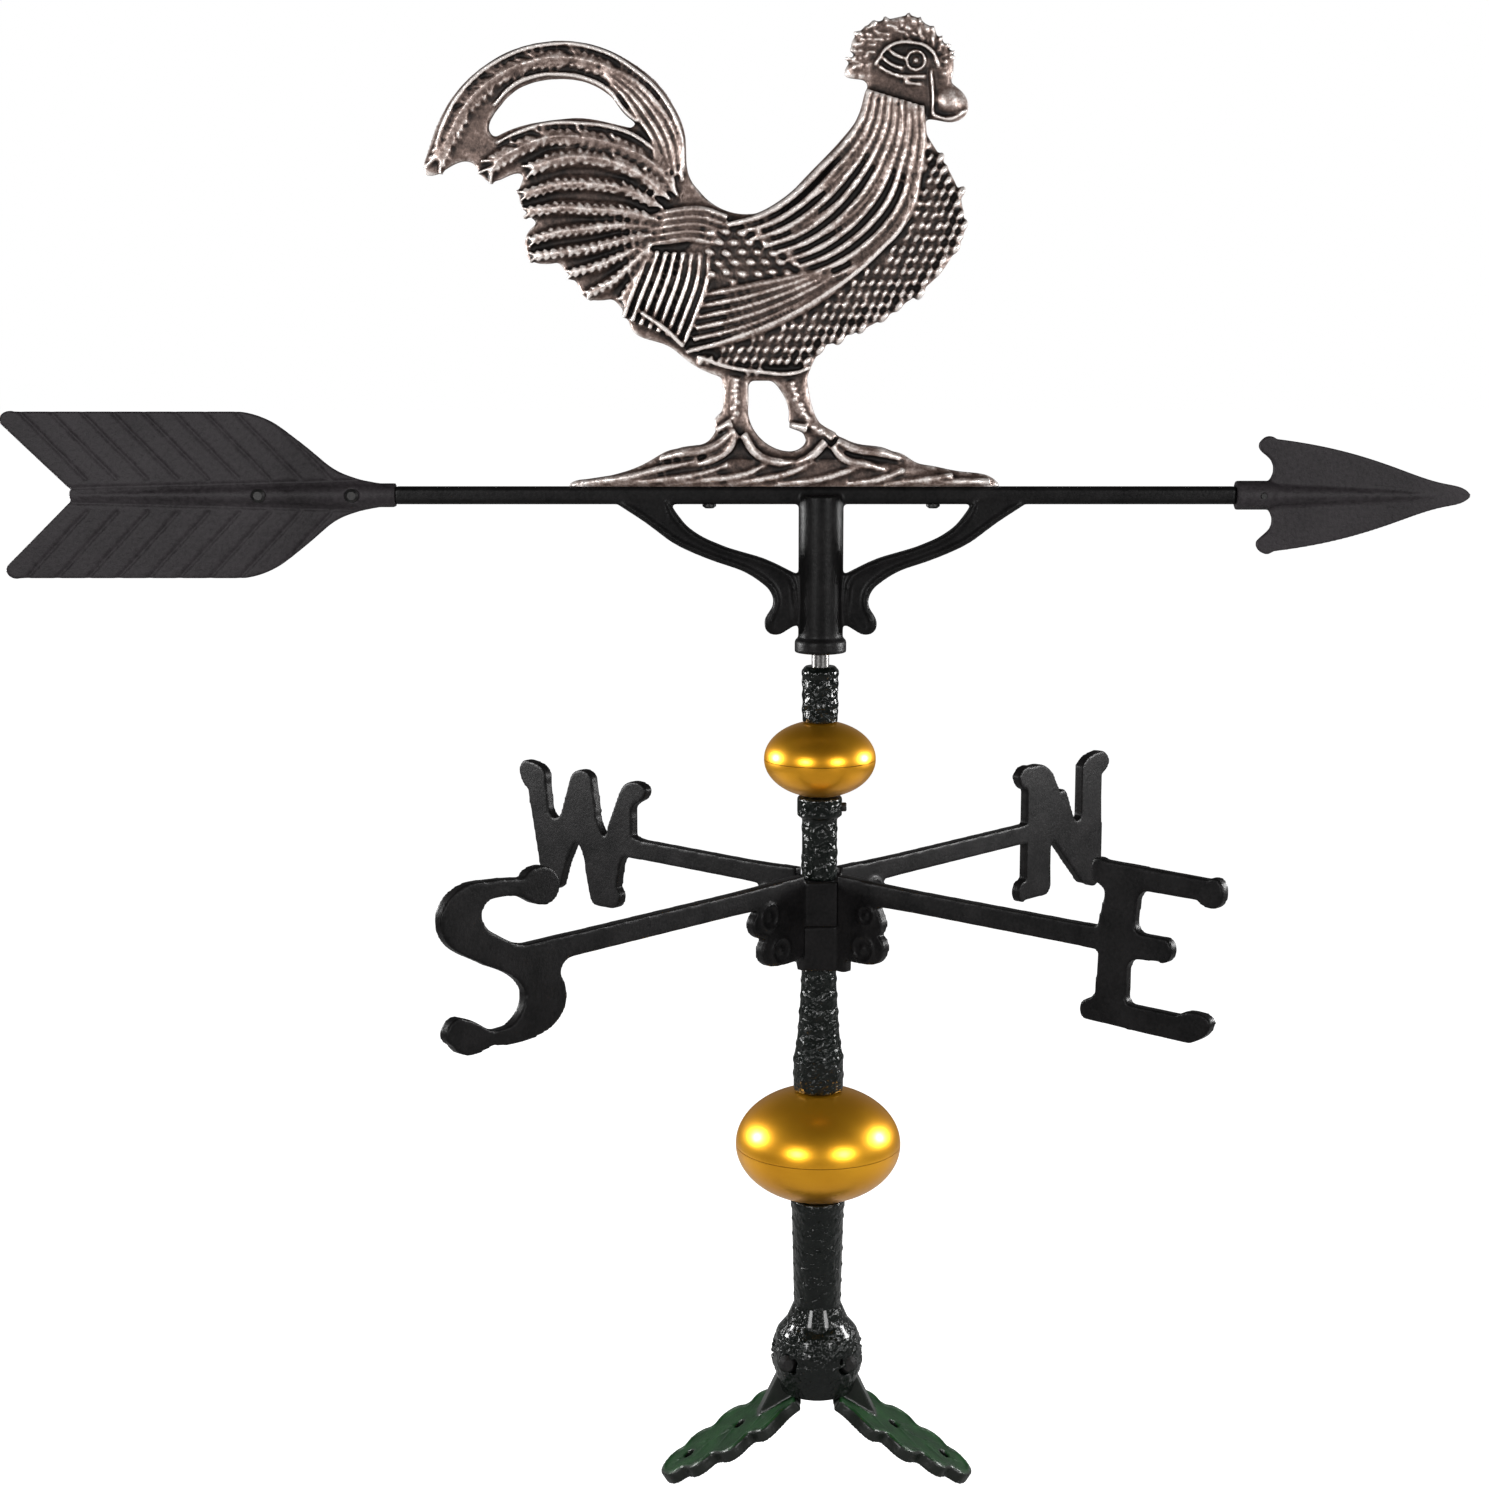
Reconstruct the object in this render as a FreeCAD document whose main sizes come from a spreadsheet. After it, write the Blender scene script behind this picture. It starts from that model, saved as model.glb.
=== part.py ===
import FreeCAD, Part
import os
import re
import Sketcher

# A roof-mounted weather vane. Heights are measured up from the ridge line that the two
# legs straddle, on the axis of the mast; the arrow points along +X. Millimetres.

doc = FreeCAD.newDocument("WeatherVane")
sheet = doc.addObject("Spreadsheet::Sheet", "Sizes")

sizes = {
    # roof mount
    "roofPitch": 32,
    "pivotLevel": 24,
    "pivotReach": 17,
    "pivotBolt": 6,
    "pivotClearance": 0.05,
    "boltHeadWidth": 10,
    "boltHeadHeight": 4,
    "boltSeat": 16.5,
    "eyeRadius": 7.5,
    "neckWidth": 11,
    "slotClearance": 0.5,
    "leafLength": 90,
    "leafWidth": 52,
    "leafThickness": 7,
    "leafStart": 9,
    "stemReach": 34,
    "roofScrewHole": 6.4,
    "innerHolePlace": 46,
    "outerHolePlace": 80,
    "knuckleRadius": 25.5,
    "knuckleFoot": 3,
    "webHalf": 3.5,
    "webFoot": 10,
    # base post
    "postTop": 115.5,
    "postRadius": 14.6,
    "postFoot": 13.2,
    "postCollar": 15.2,
    "socketDepth": 56,
    # mast rod
    "rodDiameter": 12.7,
    "rodClearance": 0.05,
    "spindleDiameter": 9.5,
    "ballDiameter": 8,
    "dimpleDiameter": 5.2,
    "dimpleDepth": 2,
    # stack on the rod
    "largeGlobeWidth": 92,
    "largeGlobeHeight": 63,
    "smallGlobeWidth": 61,
    "smallGlobeHeight": 41,
    "globeWall": 1.2,
    "globeSeam": 0.3,
    "lowerSleeveLength": 70.5,
    "lowerSleeveFoot": 13.8,
    "sleeveRadius": 9.6,
    "middleSleeveLength": 46,
    "collarRadius": 12.3,
    "collarHeight": 12.5,
    "upperSleeveLength": 30.5,
    "capRadius": 10.2,
    "capHeight": 5,
    "setScrew": 5,
    "setScrewProud": 2.4,
    # compass
    "compassTurn": 2.6,
    "hubWidth": 25,
    "hubChamfer": 3.7,
    "hubBlock": 24.6,
    "hubGap": 0.2,
    "armThickness": 6,
    "armHeight": 11.4,
    "armRoot": 14,
    "letterHeight": 84,
    "northReach": 180,
    "eastReach": 176,
    "southReach": 190,
    "westReach": 136,
    # vane
    "vaneGap": 7.5,
    "tubeRadius": 12.1,
    "tubeLength": 80,
    "tubeBore": 14,
    "tubeCollar": 14,
    "tubeCollarHeight": 6.5,
    "bushLength": 18,
    "seatHeight": 10,
    "seatClearance": 0.05,
    "barHeight": 9.5,
    "barDepth": 9.5,
    "barTail": 228,
    "barHead": 222,
    "strapDepth": 9,
    "tailSpigot": 6.5,
    "tailSpigotLength": 84,
    "headSpigot": 7,
    "headSpigotLength": 46,
    "tailEnd": 438,
    "tailNotch": 39,
    "tailHeight": 89,
    "bladeThickness": 4,
    "ribRadius": 6.4,
    "ribTip": 2.4,
    "headTip": 348,
    "headHeight": 60,
    "headThickness": 5,
    "headSleeve": 7.75,
    "headBack": 240,
    "tailScrewInner": 251,
    "tailScrewOuter": 301,
    "smallScrew": 4,
    "smallScrewHead": 7.4,
    "smallScrewHeadHeight": 2.2,
    "headPin": 3,
    "headPinPlace": 236,
    "screwFlat": 4.2,
    "roosterHeight": 244,
    "roosterThickness": 9,
    "roosterBody": 16,
    "roosterBaseDepth": 16,
    "roosterScrewPlace": 60,
    "roosterScrewGrip": 8,
}
for row, (name, size) in enumerate(sizes.items(), start=1):
    sheet.set(f"A{row}", name)
    sheet.set(f"B{row}", str(size))
    sheet.setAlias(f"B{row}", name)
doc.recompute()

# Heights and radii that follow from the sizes above, as formulas.
rodHole = "(rodDiameter / 2 + rodClearance)"
spindleHole = "(spindleDiameter / 2 + rodClearance)"
socketFoot = "(postTop - socketDepth)"
largeGlobeLevel = "(postTop + largeGlobeHeight / 2)"
lowerSleeveFootLevel = "(postTop + largeGlobeHeight)"
hubFoot = "(postTop + largeGlobeHeight + lowerSleeveLength)"
hubTop = f"({hubFoot} + 2 * hubBlock + hubGap)"
armLevel = f"({hubTop} - 3)"
smallGlobeFoot = f"({hubTop} + middleSleeveLength)"
smallGlobeLevel = f"({smallGlobeFoot} + smallGlobeHeight / 2)"
upperSleeveFoot = f"({smallGlobeFoot} + smallGlobeHeight)"
mastTop = f"({upperSleeveFoot} + upperSleeveLength)"
rodShoulder = f"({mastTop} - capHeight)"
tubeFoot = f"({mastTop} + vaneGap)"
barFoot = f"({tubeFoot} + tubeLength)"
barLevel = f"({barFoot} + barHeight / 2)"
barTop = f"({barFoot} + barHeight)"
boreTop = f"({barFoot} - 5)"
ballLevel = f"({boreTop} - seatHeight - 1)"
spindleTip = f"({ballLevel} - sqrt(pow(ballDiameter / 2; 2) - pow(dimpleDiameter / 2; 2)))"
legDrop = "(pivotLevel * cos(roofPitch) + pivotReach * sin(roofPitch))"
hubCorner = "((hubWidth - hubChamfer) / sqrt(2))"
hubFlat = "(hubChamfer / sqrt(2))"


def formula(text):
    """The text as an expression that reads the sheet."""
    return re.sub(r"[A-Za-z]\w*", lambda word: f"Sizes.{word[0]}" if word[0] in sizes else word[0], text)


def value(text):
    """What a formula comes to."""
    return float(sheet.evalExpression(formula(text)))


def bind(thing, **formulas):
    for name, text in formulas.items():
        thing.setExpression(name.replace("_", "."), formula(text))


def newBody(name):
    body = doc.addObject("PartDesign::Body", name)
    body.Label = name
    return body


def newSketch(body, plane, shift=None, lift=None, swing=0):
    """A sketch on one of the body's own planes, swung about its upright axis, shifted along
    its normal or lifted within it."""
    sketch = body.newObject("Sketcher::SketchObject", body.Name + "_outline")
    support = [item for item in body.Origin.OriginFeatures if item.Role == plane][0]
    sketch.AttachmentSupport = [(support, "")]
    sketch.MapMode = "FlatFace"
    upright = FreeCAD.Vector(0, 1, 0)
    sketch.AttachmentOffset = FreeCAD.Placement(FreeCAD.Vector(), FreeCAD.Rotation(upright, swing))
    if shift:
        sketch.setExpression("AttachmentOffset.Base.z", formula(shift))
    if lift:
        sketch.setExpression("AttachmentOffset.Base.y", formula(lift))
    return sketch


def holdPoint(sketch, edge, end, across, up):
    """Keeps one end of an edge at the place that two formulas give."""
    for kind, axis, text in (("DistanceX", -2, across), ("DistanceY", -1, up)):
        if text == "0":
            sketch.addConstraint(Sketcher.Constraint("PointOnObject", edge, end, axis))
        else:
            place = sketch.addConstraint(Sketcher.Constraint(kind, -1, 1, edge, end, value(text)))
            sketch.setExpression(f"Constraints[{place}]", formula(text))


def drawCorners(sketch, corners):
    """A closed outline of straight sides, each corner held by its own two formulas."""
    points = [FreeCAD.Vector(value(across), value(up), 0) for across, up in corners]
    first = sketch.GeometryCount
    for index, point in enumerate(points):
        following = points[(index + 1) % len(points)]
        sketch.addGeometry(Part.LineSegment(point, following), False)
    for index, (across, up) in enumerate(corners):
        following = first + (index + 1) % len(points)
        sketch.addConstraint(Sketcher.Constraint("Coincident", first + index, 2, following, 1))
        holdPoint(sketch, first + index, 1, across, up)


def drawCircle(sketch, across, up, radius):
    centre = FreeCAD.Vector(value(across), value(up), 0)
    circle = sketch.addGeometry(Part.Circle(centre, FreeCAD.Vector(0, 0, 1), value(radius)), False)
    holdPoint(sketch, circle, 3, across, up)
    place = sketch.addConstraint(Sketcher.Constraint("Radius", circle, value(radius)))
    sketch.setExpression(f"Constraints[{place}]", formula(radius))


def drawStretches(sketch, stretches, stretchBy=(1, 1), start=(0, 0)):
    """A closed outline drawn freehand: a stretch of one point is a straight side,
    and a longer one is a smooth curve that carries on from where the last one ended."""
    def placed(point):
        return FreeCAD.Vector(start[0] + point[0] * stretchBy[0], start[1] + point[1] * stretchBy[1], 0)

    last = placed(stretches[-1][-1])
    for stretch in stretches:
        points = [last] + [placed(point) for point in stretch]
        if len(points) == 2:
            edge = Part.LineSegment(points[0], points[1])
        else:
            edge = Part.BSplineCurve()
            edge.interpolate(points)
        sketch.addGeometry(edge, False)
        last = points[-1]


def pad(body, sketch, length, symmetric=True):
    feature = body.newObject("PartDesign::Pad", body.Name + "_pad")
    feature.Profile = sketch
    if symmetric:
        feature.SideType = "Symmetric"
    bind(feature, Length=length)
    doc.recompute()
    return feature


def turn(body, sketch, axis="V_Axis"):
    feature = body.newObject("PartDesign::Revolution", body.Name + "_turned")
    feature.Profile = sketch
    feature.ReferenceAxis = (sketch, [axis])
    feature.Angle = 360
    doc.recompute()
    return feature


def cutTurned(body, sketch, axis="V_Axis"):
    before = body.Shape.Volume
    feature = body.newObject("PartDesign::Groove", body.Name + "_bore")
    feature.Profile = sketch
    feature.ReferenceAxis = (sketch, [axis])
    feature.Angle = 360
    doc.recompute()
    assert body.Shape.Volume < before - 1, f"{body.Name}: the bore cuts nothing"
    return feature


def cutStraight(body, sketch, length, symmetric=True, flipped=False):
    before = body.Shape.Volume
    feature = body.newObject("PartDesign::Pocket", body.Name + "_cut")
    feature.Profile = sketch
    if symmetric:
        feature.SideType = "Symmetric"
    feature.Reversed = flipped
    bind(feature, Length=length)
    doc.recompute()
    assert body.Shape.Volume < before - 1, f"{body.Name}: the cut takes nothing away"
    return feature


def turnedBody(name, corners, plane="XZ_Plane"):
    """A body turned about the mast axis from its (radius, height) corners."""
    body = newBody(name)
    sketch = newSketch(body, plane)
    drawCorners(sketch, corners)
    turn(body, sketch)
    return body


def standAt(thing, across, deep, up, axis=(0, 0, 1), angle="0"):
    """Places a body by formulas, turned about one axis."""
    thing.Placement = FreeCAD.Placement(
        FreeCAD.Vector(value(across), value(deep), value(up)),
        FreeCAD.Rotation(FreeCAD.Vector(*axis), value(angle)),
    )
    bind(thing, Placement_Base_x=across, Placement_Base_y=deep, Placement_Base_z=up)
    bind(thing, Placement_Rotation_Angle=angle)


def groupOf(name, members):
    group = doc.addObject("Part::Compound", name)
    group.Label = name
    group.Links = members
    return group


# ---- roof mount: base post, legs, pivot bolts ----

def makeBasePost():
    body = turnedBody("base_post", [
        ("0", "knuckleFoot"),
        ("knuckleRadius - 5", "knuckleFoot"),
        ("knuckleRadius - 2", "knuckleFoot + 9"),
        ("knuckleRadius", "pivotLevel - 4"),
        ("knuckleRadius", "pivotLevel + 5"),
        ("knuckleRadius - 3", "pivotLevel + 14"),
        ("knuckleRadius - 8", "pivotLevel + 20"),
        ("postFoot", "pivotLevel + 30"),
        ("postRadius", "postTop - 6"),
        ("postCollar", "postTop - 5"),
        ("postCollar", "postTop - 1"),
        ("postRadius", "postTop"),
        ("0", "postTop"),
    ])
    socket = newSketch(body, "XZ_Plane")
    drawCorners(socket, [("0", socketFoot), (rodHole, socketFoot), (rodHole, "postTop"), ("0", "postTop")])
    cutTurned(body, socket)

    slotTop = "pivotLevel + eyeRadius + 0.8"
    for side in ("", "-"):
        slot = newSketch(body, "XZ_Plane")
        drawCorners(slot, [
            (f"{side}webHalf", "webFoot"),
            (f"{side}webHalf", slotTop),
            (f"{side}(knuckleRadius + 2)", slotTop),
            (f"{side}(knuckleRadius + 2)", "webFoot"),
        ])
        cutStraight(body, slot, "neckWidth + 2 * slotClearance")
    underside = newSketch(body, "XZ_Plane")
    drawCorners(underside, [
        ("-(knuckleRadius + 2)", "knuckleFoot - 2"),
        ("-(knuckleRadius + 2)", "webFoot"),
        ("knuckleRadius + 2", "webFoot"),
        ("knuckleRadius + 2", "knuckleFoot - 2"),
    ])
    cutStraight(body, underside, "neckWidth + 2 * slotClearance")

    bolts = newSketch(body, "XZ_Plane")
    for side in ("", "-"):
        drawCircle(bolts, f"{side}pivotReach", "pivotLevel", "pivotBolt / 2 + pivotClearance")
    cutStraight(body, bolts, "3 * knuckleRadius")
    for reach, flipped in (("boltSeat", True), ("-boltSeat", False)):
        seats = newSketch(body, "XZ_Plane", reach)
        for side in ("", "-"):
            drawCircle(seats, f"{side}pivotReach", "pivotLevel", "boltHeadWidth / 2 + 1")
        cutStraight(body, seats, "knuckleRadius", symmetric=False, flipped=flipped)

    screw = newSketch(body, "XZ_Plane")
    drawCircle(screw, "0", "postTop - 14", "setScrew / 2")
    cutStraight(body, screw, "postRadius + 2", symmetric=False)
    return body


def makeLeg(name, side, facing):
    """A leaf-shaped leg, drawn lying flat with its pivot at the origin."""
    body = newBody(name)
    lobes = [(0, 0.25), (0.10, 0.32), (0.20, 0.47), (0.27, 0.50), (0.34, 0.40), (0.44, 0.50), (0.54, 0.49),
             (0.62, 0.36), (0.70, 0.41), (0.78, 0.38), (0.84, 0.27), (0.90, 0.27), (0.96, 0.19), (1, 0)]
    rightEdge = [(along, width) for along, width in lobes]
    leftEdge = [(along, -width) for along, width in reversed(lobes[:-1])]
    leaf = newSketch(body, "XY_Plane", f"-{legDrop}")
    drawStretches(
        leaf,
        [[rightEdge[0]], rightEdge[1:], leftEdge],
        stretchBy=(value("leafLength"), value("leafWidth")),
        start=(value("leafStart"), 0),
    )
    pad(body, leaf, "leafThickness", symmetric=False)

    neck = newSketch(body, "XZ_Plane")
    drawCorners(neck, [
        ("-eyeRadius * 0.8", "-eyeRadius * 0.6"),
        ("leafStart", f"-{legDrop}"),
        ("leafStart + 6", f"-{legDrop}"),
        ("stemReach", f"leafThickness - {legDrop}"),
        ("eyeRadius * 0.8", "-eyeRadius * 0.6"),
        ("0", "0"),
    ])
    pad(body, neck, "neckWidth")
    eye = newSketch(body, "XZ_Plane")
    drawCircle(eye, "0", "0", "eyeRadius")
    pad(body, eye, "neckWidth")
    bore = newSketch(body, "XZ_Plane")
    drawCircle(bore, "0", "0", "pivotBolt / 2 + pivotClearance")
    cutStraight(body, bore, "2 * neckWidth")
    holes = newSketch(body, "XY_Plane")
    for place in ("innerHolePlace", "outerHolePlace"):
        drawCircle(holes, place, "0", "roofScrewHole / 2")
    cutStraight(body, holes, f"{legDrop} + 2", symmetric=False)

    lie = FreeCAD.Rotation(FreeCAD.Vector(0, 1, 0), value("roofPitch"))
    spin = FreeCAD.Rotation(FreeCAD.Vector(0, 0, 1), facing)
    pivot = FreeCAD.Vector(side * value("pivotReach"), 0, value("pivotLevel"))
    body.Placement = FreeCAD.Placement(pivot, spin.multiply(lie))
    bind(body, Placement_Base_x=f"{side} * pivotReach", Placement_Base_z="pivotLevel")
    return body


def makePivotBolts():
    bolts = []
    nuts = []
    for side, name in ((1, "right"), (-1, "left")):
        bolt = turnedBody(f"{name}_bolt", [
            ("0", "-boltSeat - boltHeadHeight"),
            ("boltHeadWidth * 0.3", "-boltSeat - boltHeadHeight"),
            ("boltHeadWidth / 2", "-boltSeat - boltHeadHeight * 0.5"),
            ("boltHeadWidth / 2", "-boltSeat"),
            ("pivotBolt / 2", "-boltSeat"),
            ("pivotBolt / 2", "boltSeat + boltHeadHeight + 1.5"),
            ("0", "boltSeat + boltHeadHeight + 1.5"),
        ])
        standAt(bolt, f"{side} * pivotReach", "0", "pivotLevel", (1, 0, 0), "-90")
        bolts.append(bolt)
        nut = newBody(f"{name}_nut")
        hexagon = newSketch(nut, "XY_Plane", "boltSeat")
        half = "boltHeadWidth / 2"
        corner = "boltHeadWidth / sqrt(3)"
        drawCorners(hexagon, [
            (corner, "0"), (f"{corner} / 2", half), (f"-{corner} / 2", half),
            (f"-{corner}", "0"), (f"-{corner} / 2", f"-{half}"), (f"{corner} / 2", f"-{half}"),
        ])
        pad(nut, hexagon, "boltHeadHeight", symmetric=False)
        hole = newSketch(nut, "XY_Plane")
        drawCircle(hole, "0", "0", "pivotBolt / 2")
        cutStraight(nut, hole, "4 * boltSeat")
        standAt(nut, f"{side} * pivotReach", "0", "pivotLevel", (1, 0, 0), "-90")
        nuts.append(nut)
    return groupOf("pivot_bolts", bolts), groupOf("pivot_nuts", nuts)


# ---- mast: rod, sleeves, globes ----

def makeMastRod():
    return turnedBody("mast_rod", [
        ("0", socketFoot),
        ("rodDiameter / 2 - 1", socketFoot),
        ("rodDiameter / 2", f"{socketFoot} + 1"),
        ("rodDiameter / 2", rodShoulder),
        ("spindleDiameter / 2", rodShoulder),
        ("spindleDiameter / 2", f"{spindleTip} - 1"),
        ("spindleDiameter / 2 - 1", spindleTip),
        ("dimpleDiameter / 2", spindleTip),
        ("dimpleDiameter / 2", f"{spindleTip} - dimpleDepth"),
        ("0", f"{spindleTip} - dimpleDepth"),
    ])


def makeLowerSleeve():
    return turnedBody("lower_sleeve", [
        (rodHole, lowerSleeveFootLevel),
        ("lowerSleeveFoot", lowerSleeveFootLevel),
        ("lowerSleeveFoot", f"{lowerSleeveFootLevel} + lowerSleeveLength * 0.26"),
        ("sleeveRadius * 0.35 + lowerSleeveFoot * 0.65",
         f"{lowerSleeveFootLevel} + lowerSleeveLength * 0.36"),
        ("sleeveRadius * 0.6 + lowerSleeveFoot * 0.4", f"{lowerSleeveFootLevel} + lowerSleeveLength * 0.5"),
        ("sleeveRadius * 0.85 + lowerSleeveFoot * 0.15",
         f"{lowerSleeveFootLevel} + lowerSleeveLength * 0.72"),
        ("sleeveRadius", f"{lowerSleeveFootLevel} + lowerSleeveLength * 0.9"),
        ("sleeveRadius", hubFoot),
        (rodHole, hubFoot),
    ])


def makeMiddleSleeve():
    body = turnedBody("middle_sleeve", [
        (rodHole, hubTop),
        ("sleeveRadius", hubTop),
        ("sleeveRadius", f"{smallGlobeFoot} - collarHeight"),
        ("collarRadius", f"{smallGlobeFoot} - collarHeight + 2"),
        ("collarRadius", f"{smallGlobeFoot} - 1"),
        ("collarRadius - 1", smallGlobeFoot),
        (rodHole, smallGlobeFoot),
    ])
    screw = newSketch(body, "YZ_Plane")
    drawCircle(screw, "0", f"{smallGlobeFoot} - collarHeight / 2", "setScrew / 2")
    cutStraight(body, screw, "collarRadius + 2", symmetric=False, flipped=True)
    return body


def makeUpperSleeve():
    return turnedBody("upper_sleeve", [
        (rodHole, upperSleeveFoot),
        ("sleeveRadius", upperSleeveFoot),
        ("sleeveRadius", rodShoulder),
        ("capRadius", rodShoulder),
        ("capRadius", f"{rodShoulder} + capHeight * 0.5"),
        ("capRadius - 2", mastTop),
        (spindleHole, mastTop),
        (spindleHole, rodShoulder),
        (rodHole, rodShoulder),
    ])


def makeGlobeHalf(name, width, height, level, upper):
    """Half of a spun shell: an ellipsoid with a smaller one and the rod hole taken out.
    The ellipsoid is taller than the globe by what the hole cuts off its poles."""
    full = f"({height} - globeSeam) / 2 / sqrt(1 - pow(2 * {rodHole} / {width}; 2))"

    def ellipsoid(label, wall):
        solid = doc.addObject("Part::Ellipsoid", f"{name}_{label}")
        solid.Angle1 = 0 if upper else -90
        solid.Angle2 = 90 if upper else 0
        bind(solid, Radius1=f"{full} - {wall}", Radius2=f"{width} / 2 - {wall}")
        bind(solid, Radius3=f"{width} / 2 - {wall}")
        lift = "globeSeam / 2" if upper else "-globeSeam / 2"
        bind(solid, Placement_Base_z=f"{level} + {lift}")
        return solid

    hole = doc.addObject("Part::Cylinder", f"{name}_hole")
    bind(hole, Radius=rodHole, Height=f"2 * {height}", Placement_Base_z=f"{level} - {height}")
    tools = doc.addObject("Part::MultiFuse", f"{name}_inside")
    tools.Shapes = [ellipsoid("inner", "globeWall"), hole]
    shell = doc.addObject("Part::Cut", name)
    shell.Label = name
    shell.Base = ellipsoid("outer", "0")
    shell.Tool = tools
    return shell


def makeSetScrew(name, radiusInside, radiusOutside, level, turnBy):
    """A headless screw lying along a radius of the mast."""
    body = turnedBody(name, [
        ("0", radiusInside),
        ("setScrew / 2", radiusInside),
        ("setScrew / 2", f"{radiusOutside} - 0.5"),
        ("setScrew / 2 - 0.5", radiusOutside),
        ("0", radiusOutside),
    ])
    lie = FreeCAD.Rotation(FreeCAD.Vector(0, 1, 0), 90)
    spin = FreeCAD.Rotation(FreeCAD.Vector(0, 0, 1), turnBy)
    body.Placement = FreeCAD.Placement(FreeCAD.Vector(0, 0, value(level)), spin.multiply(lie))
    bind(body, Placement_Base_z=level)
    return body


# ---- compass arms ----

# Each letter is drawn from its left edge, about the arm's centre line, on a grid 84 high.
letterGrid = 84
northLetter = [
    [(6, 41), (14, 41)], [(26, 40), (35, 34)], [(43, 21)], [(57, 5), (61, 1), (66, 3)], [(66, 34)],
    [(70, 38), (79, 41), (91, 40), (95, 34), (92, 29), (87, 27)], [(89, -28)],
    [(89, -38), (86, -42), (76, -42)],
    [(69, -40)], [(38, -9)], [(34, -12)], [(35, -36)], [(32, -40), (24, -41)], [(9, -41)],
    [(3, -40), (2, -33), (9, -29)], [(9, 27)], [(3, 30), (0, 36)],
]
westLetter = [
    [(4, 42), (12, 42), (19, 40), (23, 30)], [(25, 15)], [(30, 10), (36, 13)], [(44, 35)],
    [(48, 40), (55, 42), (61, 40), (63, 35)], [(66, 17)], [(69, 8), (72, 5), (76, 11)], [(87, 34)],
    [(93, 39), (101, 40), (108, 36), (106, 31), (101, 28), (96, 18)], [(96, 7)], [(103, 6)], [(103, -6)],
    [(89, -6)], [(86, -11)], [(83, -26)],
    [(86, -31), (83, -37), (73, -39), (63, -38), (60, -33)], [(56, -17)],
    [(53, -6), (50, -3), (46, -6)], [(40, -17)], [(35, -31)], [(31, -34), (24, -34), (19, -32)], [(15, -12)],
    [(7, 25)], [(1, 31), (0, 37)],
]
eastLetter = [
    [(6, 40), (13, 40)], [(72, 39)], [(79, 39), (81, 32), (78, 26), (73, 25), (67, 28)], [(40, 28)],
    [(35, 27), (32, 22)], [(31, 12)], [(32, 8), (36, 6)], [(46, 6)], [(52, 4), (53, -1), (51, -5), (45, -6)],
    [(34, -7)], [(29, -9), (27, -14)], [(27, -24)], [(28, -30), (33, -31)], [(57, -31)],
    [(64, -28), (70, -28), (76, -31), (75, -36), (70, -41), (64, -44)], [(4, -43)],
    [(0, -40), (1, -34), (6, -31), (9, -26)], [(10, -6)], [(0, -6)], [(0, 6)], [(9, 6)], [(13, 22)],
    [(12, 26), (7, 29), (5, 34)],
]
southLetter = [
    [(75, 28), (70, 24), (63, 24), (56, 27)], [(47, 31), (38, 32), (29, 31), (25, 26)],
    [(28, 19), (35, 14), (44, 9), (55, 6)], [(84, 6)], [(84, -6)],
    [(80, -7), (77, -10), (78, -16)], [(80, -23), (79, -30), (74, -36), (66, -40)],
    [(55, -42), (43, -42), (32, -40)], [(26, -41), (18, -42), (11, -40), (6, -35)],
    [(2, -28), (6, -23), (13, -23)], [(20, -26), (28, -31), (37, -33)],
    [(46, -31), (51, -26), (53, -18)], [(49, -12), (41, -6), (28, 0)],
    [(13, 8), (4, 15), (0, 25)], [(2, 33), (9, 39), (20, 42)],
    [(36, 41), (53, 39)], [(59, 43), (69, 42), (76, 34)],
]


# The scrolls under the arms are drawn outwards from the hub and down from the arm's centre line.
upperScroll = [
    [(0, 1)], [(0, -38)], [(9, -39.5), (19, -39.5), (29, -38), (34, -32), (33, -26), (28, -23)],
    [(35, -22), (41, -17), (41, -11), (36, -6), (34, 1)],
]
lowerScroll = [
    [(0, 1)], [(0, -38)], [(8, -39.5), (18, -39.5), (27, -38), (32, -32), (32, -26), (27, -22)],
    [(30, -20), (31, -15), (29, -10), (27, -6), (26, 1)],
]


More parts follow.
